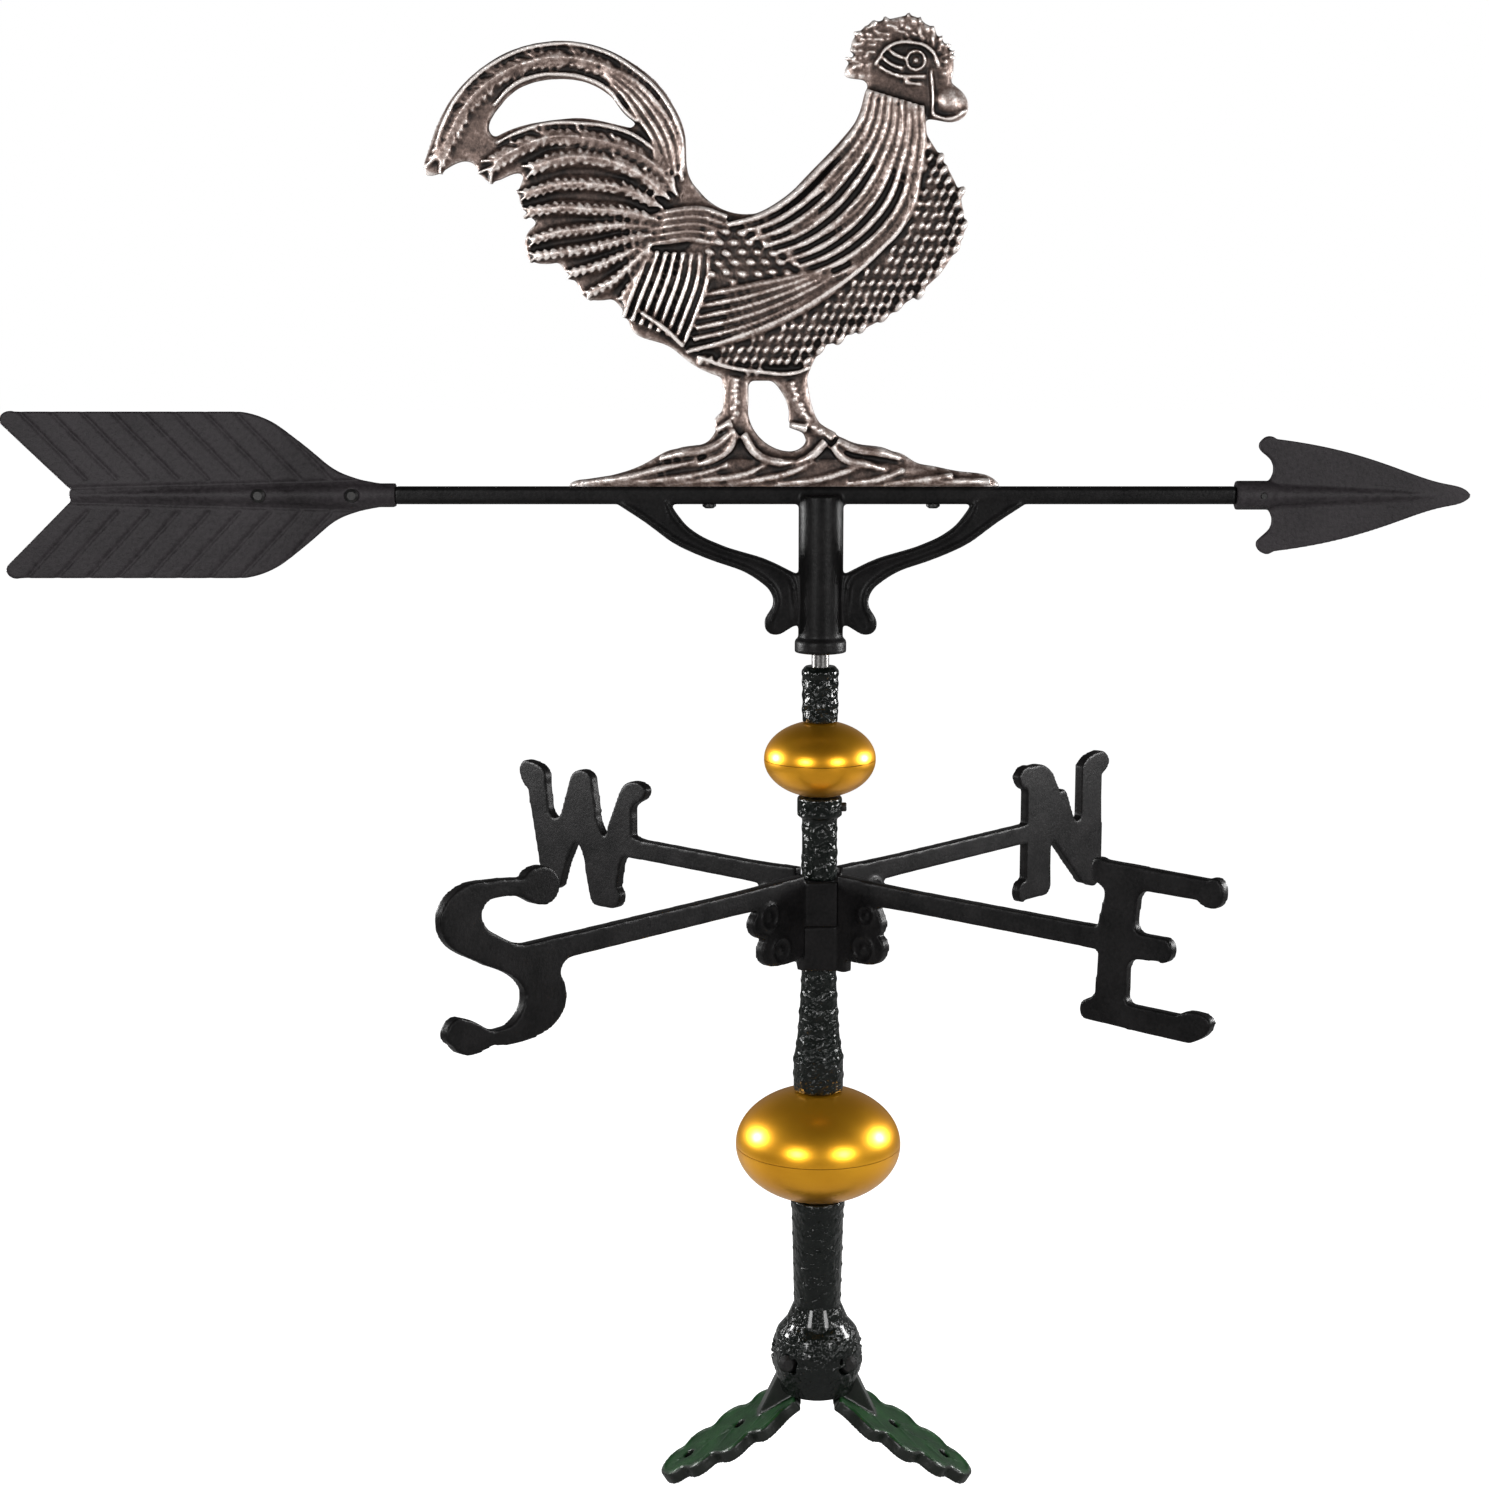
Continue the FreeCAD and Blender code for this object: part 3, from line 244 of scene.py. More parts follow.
class Look:  # a material round one Principled shader
    def __init__(self, name, **constants):
        self.material = bpy.data.materials.new(name)
        self.material.use_nodes = True
        self.tree = self.material.node_tree
        self.tree.nodes.clear()
        self.shader = self.tree.nodes.new("ShaderNodeBsdfPrincipled")
        output = self.tree.nodes.new("ShaderNodeOutputMaterial")
        self.tree.links.new(self.shader.outputs[0], output.inputs["Surface"])
        for socket, constant in constants.items():
            self.set(socket.replace("_", " "), constant)
        self.place = self.node("ShaderNodeTexCoord", {}, {}, "Object")

    def node(self, kind, settings, values, output=0):
        node = self.tree.nodes.new(kind)
        for name, setting in settings.items():
            if name == "stops":
                self.fillRamp(node.color_ramp, setting)
            else:
                setattr(node, name, setting)
        for socket, given in values.items():
            self.feed(node.inputs[socket], given)
        return Signal(self, node.outputs[output])

    def fillRamp(self, ramp, stops):
        while len(ramp.elements) < len(stops):
            ramp.elements.new(0.5)
        for element, (position, colour) in zip(ramp.elements, stops):
            element.position = position
            element.color = (*colour, 1) if len(colour) == 3 else colour

    def feed(self, socket, given):
        if isinstance(given, Signal):
            self.tree.links.new(given.socket, socket)
        elif socket.type == "RGBA" and len(given) == 3:
            socket.default_value = (*given, 1)
        else:
            socket.default_value = given

    def set(self, socket, given):
        self.feed(self.shader.inputs[socket], given)

    def noise(self, scale, detail=3, roughness=0.5):
        values = {"Vector": self.place, "Scale": scale, "Detail": detail, "Roughness": roughness}
        return self.node("ShaderNodeTexNoise", {}, values)

    def cells(self, scale):
        values = {"Vector": self.place, "Scale": scale}
        return self.node("ShaderNodeTexVoronoi", {"feature": "SMOOTH_F1"}, values, "Distance")

    def ramp(self, factor, stops):
        return self.node("ShaderNodeValToRGB", {"stops": stops}, {"Fac": factor}, "Color")

    def span(self, factor, low, high):  # carries 0..1 over to low..high
        return factor * (high - low) + low

    def bump(self, height, strength, distance):
        values = {"Height": height, "Strength": strength, "Distance": distance * mm}
        self.set("Normal", self.node("ShaderNodeBump", {}, values, "Normal"))


def antiqueIron():  # dark in the cuts, rubbed to bright metal on the ridges
    look = Look("antiqueIron", Metallic=0.55)
    ridge = look.node("ShaderNodeNewGeometry", {}, {}, "Pointiness")
    hollow = look.node("ShaderNodeAmbientOcclusion", {"only_local": True, "samples": 6},
                       {"Distance": 5 * mm}, "AO")
    mottle = look.noise(130, 4, 0.6)
    speck = look.noise(560, 3, 0.6)
    worn = (ridge - 0.5) * 9 + hollow * 0.9 - 0.3 + (mottle - 0.5) * 0.6 + (speck - 0.5) * 0.5
    colours = [(0.12, (0.004, 0.0025, 0.002)), (0.36, (0.038, 0.024, 0.019)), (0.58, (0.13, 0.088, 0.073)),
               (0.76, (0.34, 0.265, 0.235)), (0.98, (0.88, 0.81, 0.77))]
    look.set("Base Color", look.ramp(worn, colours))
    look.set("Roughness", look.span(worn, 0.6, 0.34))
    look.bump(speck + mottle, 0.35, 0.5)
    return look.material


def blackEnamel():  # satin black paint over a smooth casting
    look = Look("blackEnamel", Specular_IOR_Level=0.09)
    flow = look.noise(60, 3)
    grit = look.noise(560, 4, 0.6)
    tone = flow * 0.5 + grit * 0.5
    colours = [(0.35, (0.0026, 0.0026, 0.0027)), (0.65, (0.0082, 0.0076, 0.0078))]
    look.set("Base Color", look.ramp(tone, colours))
    look.set("Roughness", look.span(tone, 0.3, 0.5))
    look.bump(grit + flow * 2, 0.3, 0.5)
    return look.material


def charcoalEnamel():  # thin flat paint that shows the sand casting's pebble
    look = Look("charcoalEnamel", Specular_IOR_Level=0.15)
    grain = look.noise(420, 4, 0.65)
    drift = look.noise(24, 2)
    tone = grain * 0.6 + drift * 0.4
    look.set("Base Color", look.ramp(tone, [(0.32, (0.009, 0.0076, 0.0085)), (0.66, (0.03, 0.026, 0.0285))]))
    look.set("Roughness", look.span(grain, 0.42, 0.62))
    look.bump(grain, 0.55, 0.7)
    return look.material


def hammeredBlack():  # thick glossy black paint over hammer marks
    look = Look("hammeredBlack", Specular_IOR_Level=0.15, Coat_Weight=0.22, Coat_Roughness=0.08)
    dents = look.cells(210) + look.cells(480) * 0.7
    ripple = look.noise(330, 2)
    colours = [(0.3, (0.0012, 0.002, 0.0016)), (0.75, (0.004, 0.0054, 0.0045))]
    look.set("Base Color", look.ramp(ripple, colours))
    look.set("Roughness", look.span(ripple, 0.14, 0.3))
    look.bump(dents * 1.2 + ripple * 0.5 + look.noise(800, 2) * 0.4, 0.85, 1.1)
    return look.material


def goldPaint():  # satin gilt
    look = Look("goldPaint", Metallic=0.9, Coat_Weight=0.15, Coat_Roughness=0.2)
    flake = look.noise(1500, 2)
    cloud = look.noise(22, 3)
    look.set("Base Color", look.ramp(cloud, [(0.3, (0.72, 0.31, 0.012)), (0.7, (0.86, 0.41, 0.02))]))
    look.set("Roughness", look.span(flake * 0.5 + cloud * 0.5, 0.26, 0.38))
    look.bump(flake, 0.05, 0.2)
    return look.material


def leafGreen():  # green on the leaves' tops, black on their edges and stems
    look = Look("leafGreen", Specular_IOR_Level=0.25, Coat_Weight=0.1, Coat_Roughness=0.25)
    facing = look.node("ShaderNodeTexCoord", {}, {}, "Normal")
    upward = look.node("ShaderNodeSeparateXYZ", {}, {"Vector": facing}, "Z")
    blotch = look.noise(90, 4)
    green = look.ramp(blotch, [(0.3, (0.004, 0.018, 0.006)), (0.7, (0.009, 0.044, 0.011))])
    onTop = look.node("ShaderNodeMapRange", {}, {"Value": upward, "From Min": 0.55, "From Max": 0.78},
                      "Result")
    mixed = look.node("ShaderNodeMix", {"data_type": "RGBA"},
                      {"Factor": onTop, "A": (0.006, 0.008, 0.006), "B": green}, "Result")
    look.set("Base Color", mixed)
    look.set("Roughness", look.span(blotch, 0.28, 0.5))
    look.bump(look.noise(520, 3), 0.35, 0.6)
    return look.material


def turnedSteel():  # the spindle, oiled and a little dark
    look = Look("turnedSteel", Metallic=1)
    scratch = look.noise(1100, 3)
    look.set("Base Color", look.ramp(scratch, [(0.3, (0.1, 0.097, 0.095)), (0.7, (0.2, 0.195, 0.19))]))
    look.set("Roughness", look.span(scratch, 0.25, 0.42))
    look.bump(scratch, 0.1, 0.1)
    return look.material


def blackenedSteel():  # screws, pins, bolts and nuts
    look = Look("blackenedSteel", Metallic=0.6)
    scratch = look.noise(900, 3)
    look.set("Base Color", look.ramp(scratch, [(0.3, (0.008, 0.008, 0.0085)), (0.7, (0.024, 0.023, 0.022))]))
    look.set("Roughness", look.span(scratch, 0.35, 0.55))
    look.bump(scratch, 0.15, 0.15)
    return look.material


def paleNylon():
    look = Look("paleNylon", Subsurface_Weight=0.1)
    cloud = look.noise(300, 3)
    look.set("Base Color", look.ramp(cloud, [(0.3, (0.62, 0.6, 0.54)), (0.7, (0.75, 0.73, 0.67))]))
    look.set("Roughness", look.span(cloud, 0.4, 0.55))
    look.bump(cloud, 0.1, 0.1)
    return look.material


finishes = {
    "antique_iron": antiqueIron(),
    "black_enamel": blackEnamel(),
    "charcoal_enamel": charcoalEnamel(),
    "hammered_black": hammeredBlack(),
    "gold_paint": goldPaint(),
    "leaf_green": leafGreen(),
    "steel": turnedSteel(),
    "blackened_steel": blackenedSteel(),
    "nylon": paleNylon(),
}


def finish(piece, body, slot, *nodes):  # paint, and the body that the piece rides on
    settle(piece)
    bpy.ops.object.shade_smooth()
    piece.data.materials.clear()
    piece.data.materials.append(finishes[slot])
    piece.data.name = piece.name
    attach(piece, body)
    if nodes:
        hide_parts(*nodes)


nodePaint = {
    "steel": ["mast_rod", "thrust_ball"],
    "blackened_steel": ["rooster_screws", "tail_screws", "arrowhead_pin", "upper_hub_screw",
                        "lower_hub_screw", "pivot_bolts", "pivot_nuts", "post_set_screw",
                        "sleeve_set_screw"],
    "nylon": ["lower_bush", "pivot_seat"],
    "gold_paint": ["small_globe_upper", "small_globe_lower", "large_globe_upper", "large_globe_lower"],
}
for slot, names in nodePaint.items():
    for name in names:
        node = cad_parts[name]
        node.material_slots[0].link = "OBJECT"
        node.material_slots[0].material = finishes[slot]
print("materials: nine finishes, packed nodes painted")


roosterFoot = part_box("rooster")[0].z  # underside of the mound, on top of the bar

rooster = {
    "skin": 1.5,        # voxel of the blank before its feathers
    "doming": 24,       # passes that round the blank's faces
    "thin": 0.74,       # the blank's share of the casting's thickness, the feathers make up the rest
    "voxel": 0.95, "smoothing": 1,
    "keep": 0.57,       # share of the triangles kept once the skin is one piece
    "vein": 1.2, "veinProud": 1.3,
    "barbReach": 0.75, "barbStep": 4.2, "barbLean": 1.9, "barbWidth": 0.95, "barbProud": 0.9,
    "shank": (4.0, 5.4), "shankStep": 2.9, "shankScale": (2.8, 6.6, 1.3),
    "shankStray": 1.4, "shankTurn": 0.5,
    "toe": (3.0, 9.0), "fold": (2.6, 8.6),
}

# Rows of feathers spread between a first and a last line. Width and depth are half sizes; a row
# stands proud of both faces by what its depth is over the casting's half thickness there.
featherRows = [
    {"count": 9, "width": 2.5, "depth": 9.6,  # hackle
     "first": [(24, 206), (20, 191), (12, 179), (1, 168), (-10, 157), (-21, 148), (-34, 141), (-50, 137)],
     "last": [(51, 198), (52, 180), (50, 163), (47, 147), (39, 134), (29, 124), (16, 115), (0, 108)]},
    {"count": 5, "width": 1.1, "depth": 9.0,  # thin ribs between its feathers
     "first": [(26, 196), (22, 181), (13, 168), (1, 156), (-12, 147), (-26, 139)],
     "last": [(49, 184), (48, 166), (45, 150), (38, 137), (29, 127), (16, 118)]},
    {"count": 6, "width": 2.6, "depth": 9.2,  # long wing feathers
     "first": [(-4, 113), (-16, 110), (-30, 107), (-45, 104), (-62, 101)],
     "last": [(18, 112), (1, 100), (-20, 88), (-45, 78), (-70, 72)]},
    {"count": 5, "width": 2.4, "depth": 8.2,  # saddle
     "first": [(-50, 141), (-64, 145), (-78, 144), (-92, 141)],
     "last": [(-56, 127), (-68, 130), (-80, 129), (-93, 127)]},
    {"count": 8, "width": 2.1, "depth": 8.4,  # fluff over the thigh
     "first": [(-91, 124), (-96, 112), (-101, 100), (-105, 89)],
     "last": [(-60, 122), (-61, 108), (-66, 93), (-73, 76)]},
    {"count": 4, "width": 1.7, "depth": 6.4,  # stiff ribs at the root of the sickle
     "first": [(-74, 160), (-76, 180), (-85, 197), (-99, 211), (-116, 220)],
     "last": [(-83, 168), (-89, 181), (-97, 193), (-104, 203), (-114, 213)]},
]

# Single feathers of the tail: a blade, its vein and its barbs.
tailFeathers = [
    {"width": 8.6, "depth": 4.6, "barb": 6.0,  # the sickle and the one inside it
     "line": [(-78, 172), (-87, 197), (-104, 213), (-128, 222), (-150, 221), (-170, 213), (-186, 199),
              (-195, 184), (-202, 170)]},
    {"width": 7.6, "depth": 5.6, "barb": 5.6,
     "line": [(-76, 152), (-88, 168), (-108, 178), (-126, 182), (-143, 182), (-158, 177), (-170, 170),
              (-175, 164)]},
    {"width": 7.0, "depth": 7.0, "barb": 4.6,
     "line": [(-80, 150), (-92, 161), (-108, 169), (-126, 172), (-142, 170), (-152, 166)]},
    {"width": 5.4, "depth": 6.2, "barb": 4.0,
     "line": [(-84, 146), (-102, 155), (-120, 158), (-138, 158), (-155, 153)]},
    {"width": 5.2, "depth": 7.2, "barb": 3.8,
     "line": [(-88, 140), (-104, 144), (-120, 145), (-138, 146), (-153, 144)]},
    {"width": 5.0, "depth": 6.2, "barb": 3.6,
     "line": [(-90, 136), (-108, 137), (-124, 135), (-140, 133), (-153, 129)]},
    {"width": 4.8, "depth": 7.4, "barb": 3.4,
     "line": [(-90, 132), (-106, 129), (-122, 125), (-136, 123), (-151, 121)]},
    {"width": 4.8, "depth": 6.4, "barb": 3.2, "line": [(-90, 129), (-104, 122), (-118, 116), (-133, 112)]},
    {"width": 4.6, "depth": 7.4, "barb": 3.0, "line": [(-90, 127), (-101, 116), (-112, 107), (-124, 101)]},
    {"width": 4.2, "depth": 6.6, "barb": 2.8, "line": [(-90, 124), (-98, 111), (-106, 98)]},
]

# Rims and creases that stand by themselves.
creases = [
    {"width": 1.3, "depth": 6.6, "lines": [  # edges of the sickle and of the window under it
        [(-73, 166), (-74, 182), (-82, 200), (-98, 216), (-119, 227), (-143, 229), (-167, 222), (-187, 207),
         (-198, 190), (-203, 176)],
        [(-97, 190), (-103, 195), (-112, 206), (-124, 212), (-137, 214), (-150, 213), (-162, 208),
         (-172, 198)],
        [(-84, 172), (-97, 182), (-110, 187), (-126, 189), (-143, 189), (-158, 185), (-171, 179)]]},
    {"width": 1.7, "depth": 10.2, "lines": [  # the wing's lower edge and the fold under it
        [(46, 150), (41, 136), (31, 125), (18, 113), (1, 101), (-20, 89), (-45, 79), (-72, 71)],
        [(-73, 74), (-84, 84), (-96, 92)]]},
    {"width": 1.4, "depth": 8.6, "lines": [[(-66, 69), (-52, 64), (-34, 61), (-16, 60), (-6, 63)]]},  # belly
]

breast = [(54, 182), (64, 168), (73, 153), (75, 139), (72, 126), (63, 112), (51, 101), (36, 90), (19, 81),
          (0, 72), (-6, 64), (-30, 61), (-52, 61), (-66, 68), (-45, 76), (-20, 86), (2, 98), (20, 110),
          (34, 122), (45, 135), (51, 150), (53, 168)]
coverts = [(-60, 134), (-34, 134), (-12, 122), (0, 112), (-8, 108), (-30, 108), (-48, 107), (-63, 108)]
scaleRows = [
    {"outline": breast, "pitch": 4.6, "row": 5.8, "size": (2.3, 8.6, 4.3), "lean": 34},
    {"outline": coverts, "pitch": 8.2, "row": 5.2, "size": (4.8, 9.0, 3.0), "lean": 16},
]

scaleStray = {"across": 0.5, "up": 0.6, "depth": (0.94, 1.06), "turn": 8}

roosterHead = {
    "wattle": (66, 200, 10.5, 8.0), "wattleDepth": 6.0, "wattleTurn": 30,
    "eye": (48, 221, 4.8), "eyeWire": 0.95, "eyeStretch": 6.8,
    "pupil": (48, 221, 2.1), "pupilDepth": 6.4,
    "lineWidth": 1.2, "lineDepth": 6.2,
    "ear": [[(41, 217), (35, 219), (30, 223)], [(40, 213), (34, 215), (29, 218)],
            [(42, 222), (37, 224), (33, 227)]],
    "brow": [(27, 219), (34, 228), (46, 230), (56, 226), (60, 218)],
    "cheeks": [[(42, 210), (51, 209)], [(40, 213), (53, 213)], [(56, 216), (57, 203), (57, 193)]],
    "beak": [(58, 193), (66, 191.5), (75, 196)],
    "comb": {"outline": [(13, 222), (18, 237), (30, 242), (46, 244), (57, 238), (66, 230), (68, 217),
                         (62, 214), (58, 225), (46, 230), (32, 229), (25, 220), (24, 212), (14, 212)],
             "left": 13, "foot": 211, "pitch": 3.4, "row": 3.0, "steps": 18, "levels": 12,
             "size": (2.6, 5.0, 1.1), "stray": 1, "depthStray": (0.9, 1.12), "turn": 0.5},
}

toes = [
    [(-46, 30), (-58, 21), (-74, 18), (-86, 15)], [(-46, 28), (-50, 20), (-60, 14), (-70, 11)],
    [(-42, 28), (-34, 17), (-22, 13), (-14, 13)], [(8, 24), (18, 20), (32, 18), (42, 15)],
    [(6, 22), (12, 15), (24, 12), (34, 9)], [(2, 24), (-6, 16), (-16, 12)],
    [(-48, 34), (-56, 30)], [(-8, 31), (-17, 33)],
]
moundFolds = [
    [(-128, 2), (-104, 5), (-84, 10), (-66, 14)], [(-112, 2), (-86, 4), (-64, 7), (-50, 12)],
    [(-84, 2), (-62, 4), (-40, 7), (-30, 12)], [(-50, 2), (-34, 4), (-16, 8), (-4, 14)],
    [(-24, 2), (-2, 4), (12, 8), (22, 12)], [(14, 2), (30, 4), (44, 9)], [(34, 2), (56, 4), (70, 6)],
    [(52, 2), (74, 3), (90, 3)],
]
shanks = [[(-46, 58), (-46, 44), (-47, 30)], [(-17, 56), (-12, 42), (-5, 32), (6, 25)]]


def onFace(place):
    return (place[0] * mm, 0, roosterFoot + place[1] * mm)


def plume(name, lines, width, depth, ends=(0.5, 0.3)):
    return strands(name, lines, width, depth, onFace, 1, ends)


def makeScales(outline, pitch, row, size, lean):
    highest = max(z for x, z in outline)
    lowest = min(z for x, z in outline)
    left = min(x for x, z in outline)
    right = max(x for x, z in outline)
    scales = []
    for level in range(int((highest - lowest) / row) + 1):
        for step in range(int((right - left) / pitch) + 1):
            x = left + (step + 0.5 * (level % 2)) * pitch
            x += random.uniform(-scaleStray["across"], scaleStray["across"])
            z = lowest + level * row + random.uniform(-scaleStray["up"], scaleStray["up"])
            if inside((x, z), outline):
                depth = size[1] * random.uniform(*scaleStray["depth"])
                turn = math.radians(lean + random.uniform(-scaleStray["turn"], scaleStray["turn"]))
                scales.append(pebble(onFace((x, z)), (size[0], depth, size[2]), turn))
    return scales


def makeHead():
    x, z, wide, high = roosterHead["wattle"]
    size = (wide, roosterHead["wattleDepth"], high)
    parts = [pebble(onFace((x, z)), size, math.radians(roosterHead["wattleTurn"]), 3)]
    x, z, radius = roosterHead["eye"]
    bpy.ops.mesh.primitive_torus_add(major_radius=radius * mm, minor_radius=roosterHead["eyeWire"] * mm,
                                     major_segments=28, minor_segments=8, location=onFace((x, z)),
                                     rotation=(math.pi / 2, 0, 0))
    ring = bpy.context.object
    settle(ring)
    bpy.ops.transform.resize(value=(1, roosterHead["eyeStretch"], 1), center_override=onFace((x, z)))
    parts.append(ring)
    x, z, radius = roosterHead["pupil"]
    parts.append(pebble(onFace((x, z)), (radius, roosterHead["pupilDepth"], radius)))
    lines = [roosterHead["brow"], *roosterHead["cheeks"], *roosterHead["ear"], roosterHead["beak"]]
    width, depth = roosterHead["lineWidth"], roosterHead["lineDepth"]
    parts.append(plume("faceLines", lines, width, depth, (0.8, 0.7)))
    comb = roosterHead["comb"]
    middleX, middleZ = roosterHead["eye"][:2]
    for level in range(comb["levels"]):
        for step in range(comb["steps"]):
            x = comb["left"] + step * comb["pitch"] + random.uniform(-comb["stray"], comb["stray"])
            z = comb["foot"] + level * comb["row"] + random.uniform(-comb["stray"], comb["stray"])
            if inside((x, z), comb["outline"]):
                turn = random.uniform(-comb["turn"], comb["turn"]) - math.atan2(z - middleZ, x - middleX)
                wide, deep, high = comb["size"]
                size = (wide, deep * random.uniform(*comb["depthStray"]), high)
                parts.append(pebble(onFace((x, z)), size, turn, 1))
    return parts


def makeRooster():
    blank = castingFrom("rooster", "roosterCasting")
    fuse([blank], rooster["skin"], 0)
    modify(blank, "SMOOTH", factor=0.5, iterations=rooster["doming"], use_x=False, use_z=False)
    bpy.ops.transform.resize(value=(1, rooster["thin"], 1), center_override=(0, 0, 0))
    settle(blank)
    parts = [blank]
    for index, row in enumerate(featherRows):
        lines = fan(row["first"], row["last"], row["count"])
        parts.append(plume(f"row{index}", lines, row["width"], row["depth"], (0.75, 0.7)))
    for index, feather in enumerate(tailFeathers):
        line, depth = feather["line"], feather["depth"]
        parts.append(plume(f"tail{index}", [line], feather["width"], depth, (0.6, 0.8)))
        parts.append(plume(f"vein{index}", [line], rooster["vein"], depth + rooster["veinProud"], (0.9, 0.7)))
        reach = feather["barb"] * rooster["barbReach"]
        strokes = barbs(line, reach, rooster["barbStep"], rooster["barbLean"])
        barbDepth = depth + rooster["barbProud"]
        parts.append(plume(f"barb{index}", strokes, rooster["barbWidth"], barbDepth, (1, 0.8)))
    for index, crease in enumerate(creases):
        parts.append(plume(f"crease{index}", crease["lines"], crease["width"], crease["depth"], (0.8, 0.6)))
    for rows in scaleRows:
        parts += makeScales(**rows)
    parts += makeHead()
    parts.append(plume("shanks", shanks, *rooster["shank"], (1, 1)))
    for shank in shanks:
        for (x, z), _ in walk(shank, rooster["shankStep"]):
            place = onFace((x + random.uniform(-rooster["shankStray"], rooster["shankStray"]), z))
            turn = random.uniform(-rooster["shankTurn"], rooster["shankTurn"])
            parts.append(pebble(place, rooster["shankScale"], turn))
    parts.append(plume("toes", toes, *rooster["toe"], (1, 0.6)))
    parts.append(plume("moundFolds", moundFolds, *rooster["fold"], (0.6, 0.8)))
    whole = fuse(parts, rooster["voxel"], rooster["smoothing"])
    modify(whole, "TRIANGULATE")
    modify(whole, "DECIMATE", ratio=rooster["keep"])
    finish(whole, "vane", "antique_iron", "rooster")
    print("rooster:", len(whole.data.polygons), "faces")


makeRooster()


barLevel = (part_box("arrowhead")[0].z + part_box("arrowhead")[1].z) / 2

fletching = {
    "cuts": 10, "first": -411, "pitch": 16.4, "lean": 0.95, "low": 8, "high": 46,  # slanted, in each blade
    "cutWidth": 2.6, "face": 2.6,
    "channel": [(-403, 3.9), (-240, 8.2)], "channelWidth": 2.4,  # along both sides of the rib
    "voxel": 0.8,
}
arrowhead = {"ridge": [(246, 0), (300, 0), (340, 0)], "ridgeWidth": 1.6, "ridgeDepth": 3.5, "voxel": 0.8}
arrowFrame = {
    "beads": [  # one inside each edge of the strap, with the groove between them
        [(-106, -4), (-99, -8.5), (-89, -15.5), (-78, -23.5), (-67, -29), (-54, -34), (-40.5, -39),
         (-32, -44), (-25, -51), (-24, -59), (-27, -67), (-26, -72)],
        [(-83, -3), (-78, -12), (-70.5, -20), (-53.5, -28.7), (-41, -32.7), (-31, -36), (-22, -40),
         (-16, -45), (-14, -54), (-14, -66)]],
    "beadWidth": 1.9, "beadDepth": 6.4, "voxel": 0.9,
}


def onArrow(place):
    return (place[0] * mm, 0, barLevel + place[1] * mm)


def groove(start, end, width, face):  # a bar turned on its edge, to be cut out of one face of the blades
    acrossX, acrossZ = end[0] - start[0], end[1] - start[1]
    place = onArrow(((start[0] + end[0]) / 2, (start[1] + end[1]) / 2))
    bpy.ops.mesh.primitive_cube_add(size=1, location=(place[0], face * fletching["face"] * mm, place[2]),
                                    scale=(math.hypot(acrossX, acrossZ) * mm, width * mm, width * mm))
    bar = bpy.context.object
    bpy.ops.object.transform_apply(location=False, rotation=False, scale=True)
    bar.rotation_euler = (math.pi / 4, -math.atan2(acrossZ, acrossX), 0)
    settle(bar)
    return bar


def makeFletching():
    blades = castingFrom("tail_fletching", "tailBlades")
    half = (fletching["high"] - fletching["low"]) * fletching["lean"] / 2
    bars = []
    for face in (1, -1):
        for side in (1, -1):
            near, far = fletching["channel"]
            bars.append(groove((near[0], side * near[1]), (far[0], side * far[1]),
                               fletching["channelWidth"], face))
            for step in range(fletching["cuts"]):
                middle = fletching["first"] + step * fletching["pitch"]
                outer = (middle - half, side * fletching["high"])
                inner = (middle + half, side * fletching["low"])
                bars.append(groove(outer, inner, fletching["cutWidth"], face))
    quiet()
    for bar in bars:
        bar.select_set(True)
    bpy.context.view_layer.objects.active = bars[0]
    bpy.ops.object.join()
    modify(blades, "BOOLEAN", operation="DIFFERENCE", solver="EXACT", use_self=True, object=bars[0])
    bpy.data.objects.remove(bars[0])
    fuse([blades], fletching["voxel"], 1)
    finish(blades, "vane", "charcoal_enamel", "tail_fletching")
    print("tail blades:", len(blades.data.polygons), "faces")


def makeArrowhead():
    head = castingFrom("arrowhead", "arrowPoint")
    ridge = strands("ridge", [arrowhead["ridge"]], arrowhead["ridgeWidth"], arrowhead["ridgeDepth"],
                    onArrow, 1)
    fuse([head, ridge], arrowhead["voxel"], 1)
    finish(head, "vane", "charcoal_enamel", "arrowhead")
    print("arrowhead:", len(head.data.polygons), "faces")


def makeArrowFrame():
    beads = arrowFrame["beads"] + [[(-x, z) for x, z in bead] for bead in arrowFrame["beads"]]
    parts = [castingFrom("arrow_frame", "arrowFrame"),
             strands("beads", beads, arrowFrame["beadWidth"], arrowFrame["beadDepth"], onArrow, 1,
                     (0.7, 0.6))]
    whole = fuse(parts, arrowFrame["voxel"], 2)
    finish(whole, "vane", "black_enamel", "arrow_frame")
    print("arrow frame:", len(whole.data.polygons), "faces")


makeFletching()
makeArrowhead()
makeArrowFrame()


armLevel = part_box("middle_sleeve")[0].z - 3 * mm  # the arms' centre line is 3 mm under the hub's top
compass = {
    "north_south_arm": {"name": "northSouthCasting", "turn": 47.6, "rings": [(44, -11, 6.5), (35, -31, 7)]},
    "east_west_arm": {"name": "eastWestCasting", "turn": -42.4, "rings": [(36, -12, 5.2), (34, -31, 7)]},
}  # rings: out from the mast, down from the arms, radius
scroll = {"ringWidth": 1.3, "ringDepth": 4.4, "boss": 3.0, "voxel": 1.0}


